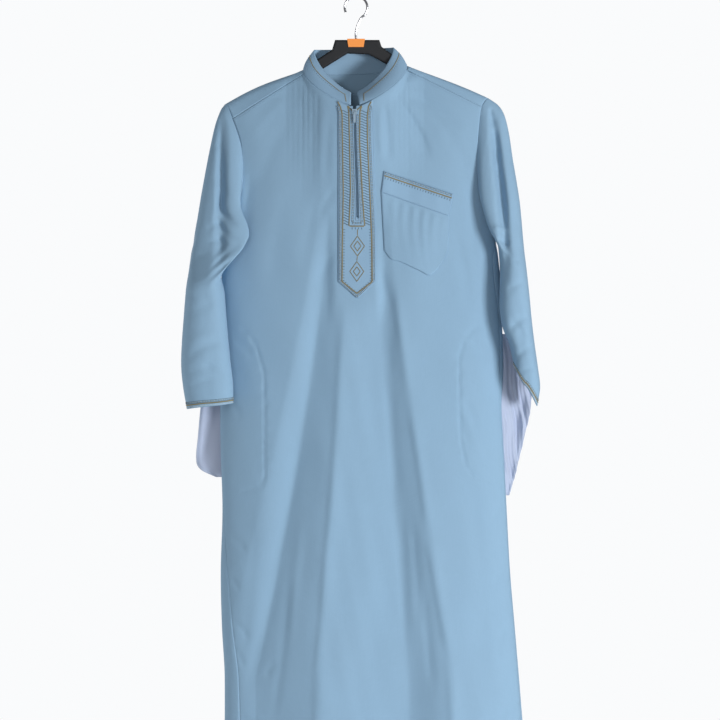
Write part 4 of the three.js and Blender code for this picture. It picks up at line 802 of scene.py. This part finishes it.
def sleeveSections(name, u):
    # Ellipse opened towards the armhole by (1 - closed), lapped over the front and grooved; a row for each
    # section after the shoulder arc
    sign = shoulders[name]["sign"]
    first = shoulderArc(name, u)
    first[..., 0] += sign * 0.9 * sizes["seamGap"]
    first[..., 2] -= 0.3 * sizes["seamGap"] * np.sin(math.pi * u)
    rows = [first]
    for seamZ, outX, outZ, inX, depth, midY, close, lap, groove, grooveX in sleeveRows[name]:
        turnIn = close * math.pi / 2
        phi = mix(-turnIn, math.pi + turnIn, u)
        middle = mix(inX, (inX + outX) / 2, close)
        span = abs(outX - middle)
        flat = mix(1, sleeve["boxy"], ramp(0, 0.5, close))
        x = middle + sign * span * np.sign(np.sin(phi)) * np.abs(np.sin(phi)) ** flat
        y = midY - depth * np.sign(np.cos(phi)) * np.abs(np.cos(phi)) ** flat
        endZ = seamZ + 0 * u
        if seamZ > sizes["armpitZ"]:
            share = (shoulders[name]["frontZ"] - seamZ) / (shoulders[name]["frontZ"] - sizes["armpitZ"])
            for a, w, face in ((-turnIn, np.maximum(0, 1 - u / 0.3), "front"),
                               (math.pi + turnIn, np.maximum(0, 1 - (1 - u) / 0.3), "back")):
                z = mix(shoulders[name][face + "Z"], sizes["armpitZ"], share)
                edgeX = armholeX(name, face, z)
                edgeY = plainFrontY(edgeX, z) if face == "front" else plainBackY(edgeX, z)
                x = x + (edgeX + sign * sizes["seamGap"] - middle - sign * span * math.sin(a)) * w**2
                y = y + (edgeY - midY + depth * math.cos(a)) * w**2
            endZ = mix(seamZ, mix(shoulders[name]["backZ"], sizes["armpitZ"], share), u)
        offLap = np.clip((np.degrees(phi) - sleeve["lapAt"]) / sleeve["lapReach"], -1, 1)
        x = x - sign * lap * np.cos(offLap * math.pi / 2) ** 2 * ramp(0, 0.12, u)
        inFront = ramp(0, 0.2, np.cos(phi)) * ramp(0.04, 0.14, u)
        y = y + groove * np.exp(-((x - grooveX) / sleeve["grooveWidth"]) ** 2) * inFront
        if close == 1:
            y = y - sizes["seamGap"] / 2 * (u == 0) + sizes["seamGap"] / 2 * (u == 1)
        z = mix(endZ, outZ, (np.sin(phi) + math.sin(turnIn)) / (1 + math.sin(turnIn)))
        rows.append(np.stack([x, y, z], -1))
    return np.array(rows)


sleevePoints = {}
for name in ("left", "right"):
    u = np.linspace(0, 1, sleeve["columns"] + 1)
    points = refine(sleeveSections(name, u), sleeve["fine"])
    if name == "left":
        points = points[:, ::-1]
    out = normalsOf(points)
    x, z = points[..., 0], points[..., 2]
    rowShare = np.linspace(0, 1, len(points))[:, None]
    facing = np.clip(-out[..., 1], 0, 1)
    behind = np.clip(out[..., 1], 0, 1)
    ends = ramp(0, 0.05, rowShare) * ramp(0, 0.06, 1 - rowShare)
    seamFade = ramp(0, 0.05, u) * ramp(0, 0.05, 1 - u)
    seamFade = seamFade[::-1] if name == "left" else seamFade
    depth = (creaseDepth(sleeveCreases[name], x, z) * facing
             + creaseDepth(sleeveCreases[name], x * 0.985, z + 14) * behind * 0.8
             + slack(x * 1.4, z, 1.0 if name == "left" else 3.0) * 0.8) * ends * seamFade
    sleevePoints[name] = points - out * depth[..., None]
    cloth["sleeve_" + name] = clothOn("robe_sleeve_" + name, sleevePoints[name], finishes["robe"])
print("sleeves made")


# What lies on the front
def onFront(x, z, out):
    # Points out millimetres in front of the front's surface
    return np.stack([x, frontFace(x, z) - out, z], -1)


placketGrid = {"halfColumns": 24, "rows": 200, "edge": 2.2, "wall": 0.8}


def placketX(side, s, z):
    # x across one half: s = 0 at the slit and 1 at the outer edge
    inner = slitX(np.maximum(z, zipper["slitEndZ"])) + side * zipper["halfSlit"]
    outer = placket["left"] if side < 0 else placket["right"] + placket["lean"] * (1 - ramp(-400, -200, z))
    return mix(inner, outer, s)


def placketHalf(side):
    s = np.linspace(1, 0, placketGrid["halfColumns"] + 1)[None, :]
    row = np.linspace(0, 1, placketGrid["rows"] + 1)[:, None]
    outer = abs((placket["left"] if side < 0 else placket["right"]) - neck["midX"]) / neck["halfWidth"]
    sine = np.maximum(outer * s, math.sin(math.radians(sizes["collarStart"])))
    top = neckPoint(neck, np.degrees(np.arcsin(sine)), side)[..., 2] - 1.5
    top = np.where(s == 0, zipper["topZ"] - 1, top)
    bottom = placket["endZ"] - placket["tip"] * (1 - s)
    z = mix(top, bottom, row)
    return placketX(side, s, z), z, s


leftX, leftZ, share = placketHalf(-1)
rightX, rightZ, _ = placketHalf(1)
x = np.concatenate([leftX, rightX[:, ::-1]], axis=1)
z = np.concatenate([leftZ, rightZ[:, ::-1]], axis=1)
fromEdge = np.concatenate([(1 - share) * 30, ((1 - share) * 30)[:, ::-1]], axis=1)
fromEnd = (z - (placket["endZ"] - placket["tip"] * np.concatenate([1 - share, (1 - share)[:, ::-1]], axis=1)))
rounded = np.minimum(ramp(0, placketGrid["edge"], fromEdge), ramp(0, placketGrid["edge"], fromEnd))
puffed = 0.35 * np.sin(z / 7.0) * np.sin(fromEdge / 30 * math.pi) * ramp(-520, -500, z)
out = placket["out"] - 0.7 * (1 - rounded) + 0.15 * puffed
keep = np.ones((x.shape[0] - 1, x.shape[1] - 1), bool)
keep[z[1:, placketGrid["halfColumns"]] > zipper["slitEndZ"], placketGrid["halfColumns"]] = False
cloth["placket_panel"] = clothOn("placket", onFront(x, z, out), finishes["placket"], placketGrid["wall"], keep)

# Zip: tapes behind the slit, and the coil in it
zipGrid = {"tapeRows": 90, "tapeWall": 0.8, "tapeBehind": 1.9, "pitch": 1.55, "coilAside": 0.75,
           "toothSize": (1.9, 0.95, 1.3), "toothRise": 0.8}
tapeZ = np.linspace(zipper["topZ"] - 6, zipper["endZ"] - 4, zipGrid["tapeRows"])[:, None]
tapeAcross = np.linspace(-1, 1, 13)[None, :]
tapeX = slitX(tapeZ) + tapeAcross * zipper["tapeHalf"]
creased = creaseDepth(frontCreases, tapeX, tapeZ) + slack(tapeX, tapeZ)
behind = plainFrontY(tapeX, tapeZ) + creased * frontFree(tapeX, tapeZ)
tapePoints = np.stack([tapeX, behind + zipGrid["tapeBehind"], tapeZ + 0 * tapeX], -1)
cloth["zip_tape"] = clothOn("zip_tape_cloth", tapePoints, finishes["tape"], zipGrid["tapeWall"])


# Small repeated forms, set along lines
def bead(around=6, rings=2):
    # A ball of radius 1 from rings of points and two poles
    polar = np.pi * (np.arange(rings) + 1) / (rings + 1)
    turns = 2 * np.pi * np.arange(around) / around
    ring = np.stack([np.cos(polar)[:, None] + 0 * turns, np.sin(polar)[:, None] * np.cos(turns),
                     np.sin(polar)[:, None] * np.sin(turns)], -1).reshape(-1, 3)
    points = np.concatenate([[[1, 0, 0]], ring, [[-1, 0, 0]]])
    faces = []
    for k in range(around):
        following = (k + 1) % around
        faces.append([0, 1 + following, 1 + k, 1 + k])
        for q in range(rings - 1):
            faces.append([1 + q * around + k, 1 + q * around + following,
                          1 + (q + 1) * around + following, 1 + (q + 1) * around + k])
        base = 1 + (rings - 1) * around
        faces.append([len(points) - 1, base + k, base + following, base + following])
    return points, faces


def scatter(name, lines, material, size, spin=0.0, sway=0.0, ball=(6, 2)):
    # Balls stretched to size (along, across, out) at each point of each line, turned in the cloth's plane by
    # spin degrees, and by sway to one side and the other in turn. A line is (points, directions, normals).
    shape, faces = bead(*ball)
    triangles = np.array([f[:3] for f in faces if f[2] == f[3]])
    quads = np.array([f for f in faces if f[2] != f[3]])
    places, alongs, outs = (np.concatenate([line[k] for line in lines]) for k in range(3))
    alongs = alongs / np.linalg.norm(alongs, axis=-1, keepdims=True)
    sides = np.cross(outs, alongs)
    sides /= np.maximum(np.linalg.norm(sides, axis=-1, keepdims=True), 1e-9)
    order = np.concatenate([np.arange(len(line[0])) for line in lines])
    angle = np.radians(spin + sway * np.where(order % 2, 1, -1))[:, None]
    a = alongs * np.cos(angle) + sides * np.sin(angle)
    b = np.cross(outs, a)
    local = shape * np.array(size) / 2
    points = (places[:, None] + local[None, :, :1] * a[:, None] + local[None, :, 1:2] * b[:, None]
              + local[None, :, 2:] * outs[:, None])
    step = (np.arange(len(places)) * len(shape))[:, None, None]
    allFaces = (triangles[None] + step).reshape(-1, 3).tolist() + (quads[None] + step).reshape(-1, 4).tolist()
    return addMesh(name, points.reshape(-1, 3), allFaces, material)


def walk(line, step, look=0.5, axes=None):
    # Points a step apart along a line, measured on its first axes, and the line's direction there
    line = np.asarray(line, float)
    length = np.concatenate([[0], np.cumsum(np.linalg.norm(np.diff(line[:, :axes], axis=0), axis=1))])
    count = max(2, int(round(length[-1] / step)))
    at = (np.arange(count) + 0.5) / count * length[-1]

    def sample(where):
        return np.stack([np.interp(where, length, column) for column in line.T], -1)

    return sample(at), sample(at + look) - sample(at - look)


def frontNormal(x, z):
    # (dy/dx, -1, dy/dz) of the front, of length 1
    slopeX = (frontFace(x + 0.5, z) - frontFace(x - 0.5, z))
    slopeZ = (frontFace(x, z + 0.5) - frontFace(x, z - 0.5))
    out = np.stack([slopeX, -np.ones_like(slopeX), slopeZ], -1)
    return out / np.linalg.norm(out, axis=-1, keepdims=True)


def lineOnFront(path, step, out):
    # A row of places on the front: path is x, z corners
    place, direction = walk(path, step)
    x, z = place[:, 0], place[:, 1]
    normal = frontNormal(x, z)
    ahead = np.stack([direction[:, 0], (frontFace(x + direction[:, 0] / 2, z + direction[:, 1] / 2)
                                        - frontFace(x - direction[:, 0] / 2, z - direction[:, 1] / 2)),
                      direction[:, 1]], -1)
    return onFront(x, z, out), ahead, normal


def lineOnGrid(points, rows, columns, step, out):
    # A row of places on a grid's surface: rows and columns are the line's corners in grid steps
    count = 40 * len(rows)
    share = np.linspace(0, 1, count)
    at = np.linspace(0, 1, len(rows))
    i = np.clip(np.interp(share, at, rows), 0, points.shape[0] - 1.001)
    j = np.clip(np.interp(share, at, columns), 0, points.shape[1] - 1.001)
    normals = normalsOf(points)

    def sample(grid):
        i0, j0 = i.astype(int), j.astype(int)
        a, b = (i - i0)[:, None], (j - j0)[:, None]
        return (grid[i0, j0] * (1 - a) * (1 - b) + grid[i0 + 1, j0] * a * (1 - b)
                + grid[i0, j0 + 1] * (1 - a) * b + grid[i0 + 1, j0 + 1] * a * b)

    line = np.concatenate([sample(points), sample(normals)], axis=1)
    got, ahead = walk(line, step, 0.4, 3)
    normal = got[:, 3:] / np.linalg.norm(got[:, 3:], axis=-1, keepdims=True)
    return got[:, :3] + normal * out, ahead[:, :3], normal


def rowOnGrid(points, row, margin, step, out):
    # A line along one of a grid's rows, a margin of columns short of both its ends
    return lineOnGrid(points, [row] * 9, np.linspace(margin, points.shape[1] - 1 - margin, 9), step, out)


coilZ = np.arange(zipper["topZ"] - 8, zipper["endZ"] + 6, -zipGrid["pitch"])
for side, name in ((-1, "left"), (1, "right")):
    z = coilZ + (0 if side < 0 else -zipGrid["pitch"] / 2)
    x = slitX(z) + side * zipGrid["coilAside"]
    place = np.stack([x, frontFace(x, z) - zipGrid["toothRise"], z], -1)
    crossways = np.tile([[1.0, 0, 0]], (len(z), 1))
    scatter("zip_coil_" + name, [(place, crossways, frontNormal(x, z))], finishes["coil"],
            zipGrid["toothSize"], ball=(8, 3))
print("placket and zip made")

# Chest pocket
pocket = {"columns": 90, "bandRows": 26, "pouchRows": 90, "bandOut": 2.3, "pouchOut": 1.8, "gathers": 13,
          "bandWall": 0.8, "pouchWall": 0.7}
pocketBand = {"topLeft": (48.7, -306.9), "topRight": (171.5, -346.8),
              "lowLeft": (43.8, -344), "lowRight": (162.8, -386)}
pouchEdge = np.array([[0, 49, -446], [0.12, 61, -461], [0.28, 78, -466], [0.55, 112, -482], [0.75, 131, -489],
                      [0.9, 150, -468], [1, 161.7, -443]], float)


def bandXZ(s, t):
    # Bilinear between the band's four corners
    corners = {k: np.array(v, float) for k, v in pocketBand.items()}
    low = mix(corners["lowLeft"], corners["lowRight"], s[..., None])
    return mix(mix(corners["topLeft"], corners["topRight"], s[..., None]), low, t[..., None])


s = np.linspace(0, 1, pocket["columns"] + 1)[None, :]
t = np.linspace(0, 1, pocket["bandRows"] + 1)[:, None]
flat = bandXZ(s + 0 * t, t + 0 * s)
edge = np.minimum(np.minimum(s, 1 - s) * 120, np.minimum(t, 1 - t) * 37)
out = pocket["bandOut"] - 0.8 * (1 - ramp(0, 2.2, edge)) + 0.2 * np.sin(s * 26) * np.sin(math.pi * t)
bandPoints = onFront(flat[..., 0], flat[..., 1], out)
cloth["chest_pocket_band"] = clothOn("pocket_band", bandPoints, finishes["placket"], pocket["bandWall"])

t = np.linspace(0, 1, pocket["pouchRows"] + 1)[:, None]
top = bandXZ(s, 1 + 0 * s)
x = mix(top[..., 0], along(pouchEdge, 1, s), t)
z = mix(top[..., 1], along(pouchEdge, 2, s), t) - sizes["seamGap"]
gather = np.sin(s * pocket["gathers"] * math.pi + 1.5 * np.sin(t * 4)) * (1 - t) ** 1.5 * np.sin(math.pi * s)
wave = np.sin(s * 9 + 3.1 * t) * np.sin(math.pi * t) * np.sin(math.pi * s)
pouchSag = 2.5 * np.sin(math.pi * s) * (1 - t) ** 0.5 * ramp(0, 0.2, t)
edge = np.minimum(np.minimum(s, 1 - s) * 116, (1 - t) * 100)
out = pocket["pouchOut"] + pouchSag + 0.7 * gather * ramp(0, 0.1, t) + 0.5 * wave - 0.7 * (1 - ramp(0, 2.5, edge))
pouchPoints = onFront(x, z, np.maximum(out, 1.0))
cloth["chest_pocket_pouch"] = clothOn("pocket_pouch", pouchPoints, finishes["robe"], pocket["pouchWall"])
print("chest pocket made")

# Side pocket bags
bagRows = {
    "left": np.array([[-600, -250, 6], [-660, -266, 9], [-725, -274, 10], [-776, -278.6, 9], [-818, -281, 8],
                      [-832, -272, 7], [-844, -247, 6]], float),
    "right": np.array([[-592, 266, 20], [-630, 296, 26], [-680, 308, 27], [-720, 308, 24], [-776, 296, 17],
                       [-813, 287, 13], [-845, 279, 10], [-876, 270, 8]], float),
}
bag = {"columns": 44, "rows": 130, "wall": 1.2, "inside": 4, "crumple": {"left": 1.0, "right": 2.2},
       "pleat": {"left": 0, "right": 2.4}, "pleatWide": 17}
bagPoints = {}
for name in ("left", "right"):
    sign, table = shoulders[name]["sign"], bagRows[name]
    z = np.linspace(table[0, 0], table[-1, 0], bag["rows"] + 1)[:, None]
    s = np.linspace(0, 1, bag["columns"] + 1)[None, :]
    root = along(bodyRows, 1 if sign < 0 else 2, z) - sign * bag["inside"]
    x = mix(root, along(table, 1, z), s)
    wave = 2.5 * np.sin(z / 31 + 3 * s) * s
    crumple = bag["crumple"][name] * s * (np.sin(x / 9 + z / 21) + 0.6 * np.sin(x / 5 - z / 13 + 1)
                                         + 0.5 * np.sin(z / 8 + 2 * s))
    seam = -0.8 * np.exp(-((1 - s) * 30 / 2.5 - 1.5) ** 2)
    phase = 2 * math.pi * (x + 0.12 * z + 2.5 * np.sin(z / 19)) / bag["pleatWide"]
    pleat = bag["pleat"][name] * (np.sin(phase) + 0.4 * np.sin(2 * phase)) * ramp(0, 0.25, s)
    y = -0.3 + along(table, 2, z) * ramp(0, 0.7, s) + wave + crumple + seam + pleat
    bagPoints[name] = np.stack([x, y, z + 0 * x], -1)
    if name == "left":
        bagPoints[name] = bagPoints[name][:, ::-1]
    cloth["side_pocket_bag_" + name] = clothOn("pocket_bag_" + name, bagPoints[name], finishes["lining"], bag["wall"])
print("pocket bags made")

# Embroidery on the placket. Each line is a list of x, z; a rope is satin stitch laid across it, a net is two
# strands that cross
thread = {
    "rope": {"size": (2.9, 1.1, 1.0), "step": 0.82, "spin": 74},
    "thin": {"size": (1.9, 0.9, 0.8), "step": 0.75, "spin": 66},
    "net": {"size": (5.8, 1.35, 0.9), "step": 4.6, "spin": 50},
    "pearl": {"size": (1.7, 1.7, 1.3), "step": 4.6},
    "tick": {"size": (4.2, 1.25, 0.8), "step": 5.0},
    "sew": {"size": (2.3, 0.55, 0.45), "step": 3.1},
}
stitches = {"out": 0.15, "trimStep": 2.8, "collarStep": 2.6, "bagStep": 3.0, "bagOut": 0.1}
onPlacket = placket["out"] + 0.25
outerLeft = [(-32, -185.5), (-27.5, -194), (-24.4, -206), (-24, -240), (-22.4, -345), (-24, -440), (-24.4, -500.5)]
outerRight = [(26.5, -185.5), (22, -194), (20, -210), (20, -253), (24, -340), (27.6, -430), (28, -501)]
innerLeft = [(-14.5, -193), (-12.5, -203), (-11.4, -253), (-9.7, -340), (-11.4, -385), (-12.4, -403)]
innerRight = [(10, -193), (7, -203), (6.3, -253), (11, -345), (13.6, -385), (15.5, -403)]
netLeft = [(-32.5, -192), (-28.6, -206), (-28, -253), (-27, -340), (-28, -445), (-27.8, -499)]
netRight = [(27, -192), (23.8, -206), (24.4, -253), (28, -342), (31.2, -430), (31, -499)]
tip = (1.5, -521.5)
goldLines = [outerLeft + [tip], outerRight + [tip], innerLeft, innerRight, [(-11, -403.5), (14.2, -403.5)],
             [(-14.5, -193), (-3.4, -205), (10, -193)]]
edgeLines = [[(slitX(z) + side * 3.2, z) for z in np.linspace(-207, -393, 12)] for side in (-1, 1)]
edgeLines.append([(slitX(-393) - 3.4, -393.5), (slitX(-393) + 3.4, -393.5)])
nets = [netLeft + [(1.5, -527.5)], netRight + [(1.5, -527.5)],
        [(-7.6, -207), (-7.2, -253), (-5, -340), (-6.2, -397)], [(2.9, -207), (3.4, -253), (7.4, -340), (10, -397)],
        [(-7, -398), (11, -398)]]
ticks = [[(-20.6, -407), (-22, -499), tip], [(24.6, -407), (26, -499), tip], [(-9.5, -407.6), (12.8, -407.6)]]
diamonds = [{"mid": (2.6, -438.5), "half": (12.3, 17.5)}, {"mid": (2.6, -438.5), "half": (6.2, 8.7)},
            {"mid": (1.5, -483), "half": (12.3, 17.5)}, {"mid": (1.5, -483), "half": (6, 8)}]
rungs = {"step": 4.8, "first": -203, "last": -401, "fall": 2.6, "wave": 0.9}


def rows(lines, kind, out):
    return [lineOnFront(path, thread[kind]["step"], out) for path in lines]


def sewRope(name, lines, kind, finish):
    scatter(name, lines, finishes[finish], thread[kind]["size"], thread[kind]["spin"])


def sewNet(name, lines, beads):
    # Crossed strands, and a pale knot in every second cell
    for turn, label in ((1, "a"), (-1, "b")):
        scatter(name + "_" + label, lines, finishes["net"], thread["net"]["size"], turn * thread["net"]["spin"])
    scatter(name + "_knots", beads, finishes["pale"], thread["pearl"]["size"], ball=(8, 3))


sewRope("placket_gold_lines", rows(goldLines, "rope", onPlacket), "rope", "gold")
sewRope("placket_edges", rows(edgeLines, "thin", onPlacket), "thin", "blue")
sewNet("placket_net", rows(nets, "net", onPlacket), rows(nets, "pearl", onPlacket))
scatter("placket_ticks", rows(ticks, "tick", onPlacket), finishes["net"], thread["tick"]["size"], spin=90)
diamondPaths = [[(2.6, -409), (2.6, -420)], [(2.4, -457), (1.6, -464)]]
for shape in diamonds:
    (cx, cz), (hx, hz) = shape["mid"], shape["half"]
    diamondPaths.append([(cx, cz + hz), (cx + hx, cz), (cx, cz - hz), (cx - hx, cz), (cx, cz + hz)])
sewRope("placket_diamonds", rows(diamondPaths, "thin", onPlacket), "thin", "gold")
ladder = []
for z in np.arange(rungs["first"], rungs["last"], -rungs["step"]):
    for inner, outer in ((innerLeft, outerLeft), (outerRight, innerRight)):
        ends = [np.interp(-z, [-q[1] for q in line], [q[0] for q in line]) for line in (outer, inner)]
        share = np.linspace(0.06, 0.94, 7)
        path = np.stack([mix(ends[0], ends[1], share), z + rungs["fall"] * (0.5 - share)
                         + rungs["wave"] * np.sin(share * 2 * math.pi)], -1)
        ladder.append(lineOnFront(path, 1.7, onPlacket))
scatter("placket_ladder", ladder, finishes["net"], (2.3, 1.4, 0.8))
print("placket embroidery made")

# Embroidery on the collar, pocket band and cuffs
columns = collar["columns"]
collarLine = ([19, 8, 6.5, 6.5, 6.5, 8, 19], [3, 4, 14, columns / 2, columns - 14, columns - 4, columns - 3])
sewRope("collar_gold_line", [lineOnGrid(collarPoints, *collarLine, thread["thin"]["step"], 0.25)], "thin", "gold")
scatter("collar_ticks", [lineOnGrid(collarPoints, [8.4] * 3, [8, columns / 2, columns - 8], 4.6, 0.2)],
        finishes["net"], (2.6, 0.7, 0.6), spin=90)


def lineOnBand(t, step):
    # Across the pocket band at share t of its height
    flat = bandXZ(np.linspace(0.015, 0.985, 30), np.full(30, t))
    return lineOnFront(flat, step, pocket["bandOut"] + 0.2)


sewRope("pocket_gold_line", [lineOnBand(0.2, thread["rope"]["step"])], "rope", "gold")
sewNet("pocket_net", [lineOnBand(0.08, thread["net"]["step"])], [lineOnBand(0.08, thread["pearl"]["step"])])
scatter("pocket_ticks", [lineOnBand(0.3, thread["tick"]["step"])], finishes["net"], thread["tick"]["size"], spin=90)
cuff = {"gold": 6.5, "dots": 10.5, "chain": 2.6, "chainStep": 2.3, "chainSize": (2.8, 0.9, 0.7), "chainSway": 36}
for name in ("left", "right"):
    points = sleevePoints[name]
    last, middle = len(points) - 1, (points.shape[1] - 1) // 2
    perStep = np.linalg.norm(points[last, middle] - points[last - 8, middle]) / 8
    at = {key: last - cuff[key] / perStep for key in ("gold", "dots", "chain")}
    sewRope("cuff_gold_" + name, [rowOnGrid(points, at["gold"], 0, thread["rope"]["step"], 0.25)], "rope", "gold")
    sewNet("cuff_net_" + name, [rowOnGrid(points, at["dots"], 0, thread["net"]["step"], 0.2)],
           [rowOnGrid(points, at["dots"], 0, thread["pearl"]["step"], 0.2)])
    scatter("cuff_chain_" + name, [rowOnGrid(points, at["chain"], 0, cuff["chainStep"], 0.2)],
            finishes["pale"], cuff["chainSize"], sway=cuff["chainSway"])
print("cuff, collar and pocket embroidery made")

# Seams: rows of stitches
sewStep, out = thread["sew"]["step"], stitches["out"]
sewn = [lineOnFront(path, sewStep, out) for path in outlines.values()]
sewn.append(lineOnFront([(x, sizes["hemZ"] + 24) for x in np.linspace(-196, 306, 60)], sewStep, out))
for name in ("left", "right"):
    seam = frontTop(name, np.linspace(0.02, 6 / 13, 30))
    sewn.append(lineOnFront(np.stack([seam[:, 0], seam[:, 2] - 5], -1), sewStep, out))
sewn += [rowOnGrid(yokePoints, row, 8, sewStep, out) for row in (2, 38)]
scatter("robe_stitches", sewn, finishes["blue"], thread["sew"]["size"])

placketTrim = ([(-30.6, -196), (-30.6, -498), (2.6, -525.5)],
               [(2.6, -525.5), (33.2, -499), (32.9, -400), (28.9, -196)])
trim = [lineOnFront(path, stitches["trimStep"], onPlacket - 0.15) for path in placketTrim]
endsDown = np.linspace(0.05, 0.95, 20)
bandTrim = (bandXZ(np.linspace(0.02, 0.98, 20), np.full(20, 0.95)), bandXZ(np.full(20, 0.985), endsDown),
            bandXZ(np.full(20, 0.015), endsDown))
trim += [lineOnFront(path, stitches["trimStep"], pocket["bandOut"]) for path in bandTrim]
s = np.linspace(0.02, 0.98, 40)
topXZ, lowXZ = bandXZ(s, np.ones(40)), np.stack([along(pouchEdge, 1, s), along(pouchEdge, 2, s)], -1)
trim.append(lineOnFront(mix(topXZ, lowXZ, 0.965), stitches["trimStep"], pocket["pouchOut"]))
for end in (0, -1):
    down = [mix(topXZ[end], lowXZ[end], share) for share in (0.03, 0.5, 0.965)]
    trim.append(lineOnFront(down, stitches["trimStep"], pocket["pouchOut"]))
scatter("trim_stitches", trim, finishes["blue"], thread["sew"]["size"])

collarSew = [rowOnGrid(collarPoints, row, 2, stitches["collarStep"], 0.1) for row in (1.6, 20.6)]
scatter("collar_stitches", collarSew, finishes["blue"], thread["sew"]["size"])
backSew = [rowOnGrid(backPoints, row, 2, sewStep, out) for row in (backPoints.shape[0] - 4, 5)]
scatter("back_stitches", backSew, finishes["blue"], thread["sew"]["size"])
bagDown = [4, bag["rows"] - 12, bag["rows"] - 4]
bagSew = [lineOnGrid(bagPoints[name], bagDown, column, stitches["bagStep"], stitches["bagOut"])
          for name, column in (("left", [3, 3, 14]), ("right", [37, 37, 34]))]
scatter("bag_stitches", bagSew, finishes["blue"], thread["sew"]["size"])
print("stitches made")

# Every cloth piece stands for its solid, which is hidden
for node, thing in cloth.items():
    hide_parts(node)

nodeFinishes = {"zip_slider": "metal", "zip_pull": "metal", "hanger_body": "black", "hanger_hook": "steel",
                "hanger_clip": "orange"}
for node, finish in nodeFinishes.items():
    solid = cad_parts[node]
    solid.data.materials.clear()
    solid.data.materials.append(finishes[finish])

# Floor and surroundings
floorTree = Tree("floorPaint")
floorTree.set(Base_Color=(0.9, 0.905, 0.91, 1), Roughness=0.85)
ringTurn = np.linspace(0, 2 * math.pi, 97)[:-1]
floorRing = np.stack([np.cos(ringTurn), np.sin(ringTurn)], -1) * studio["floorRadius"]
floorMesh = bpy.data.meshes.new("floor")
floorMesh.from_pydata([(x, y, studio["floorZ"]) for x, y in floorRing.tolist()], [], [list(range(96))])
floorMesh.materials.append(floorTree.material)
floor = bpy.data.objects.new("floor", floorMesh)
bpy.context.scene.collection.objects.link(floor)
world = bpy.data.worlds.new("studio")
bpy.context.scene.world = world
world.use_nodes = True
nodes, links = world.node_tree.nodes, world.node_tree.links
seen = nodes["Background"]
seen.inputs["Color"].default_value = (*studio["backdrop"], 1)
seen.inputs["Strength"].default_value = 1
around = nodes.new("ShaderNodeBackground")
around.inputs["Color"].default_value = (0.95, 0.97, 1, 1)
around.inputs["Strength"].default_value = studio["ambient"]
chosen = nodes.new("ShaderNodeMixShader")
links.new(nodes.new("ShaderNodeLightPath").outputs["Is Camera Ray"], chosen.inputs[0])
links.new(around.outputs[0], chosen.inputs[1])
links.new(seen.outputs[0], chosen.inputs[2])
links.new(chosen.outputs[0], nodes["World Output"].inputs["Surface"])

print("scene done")
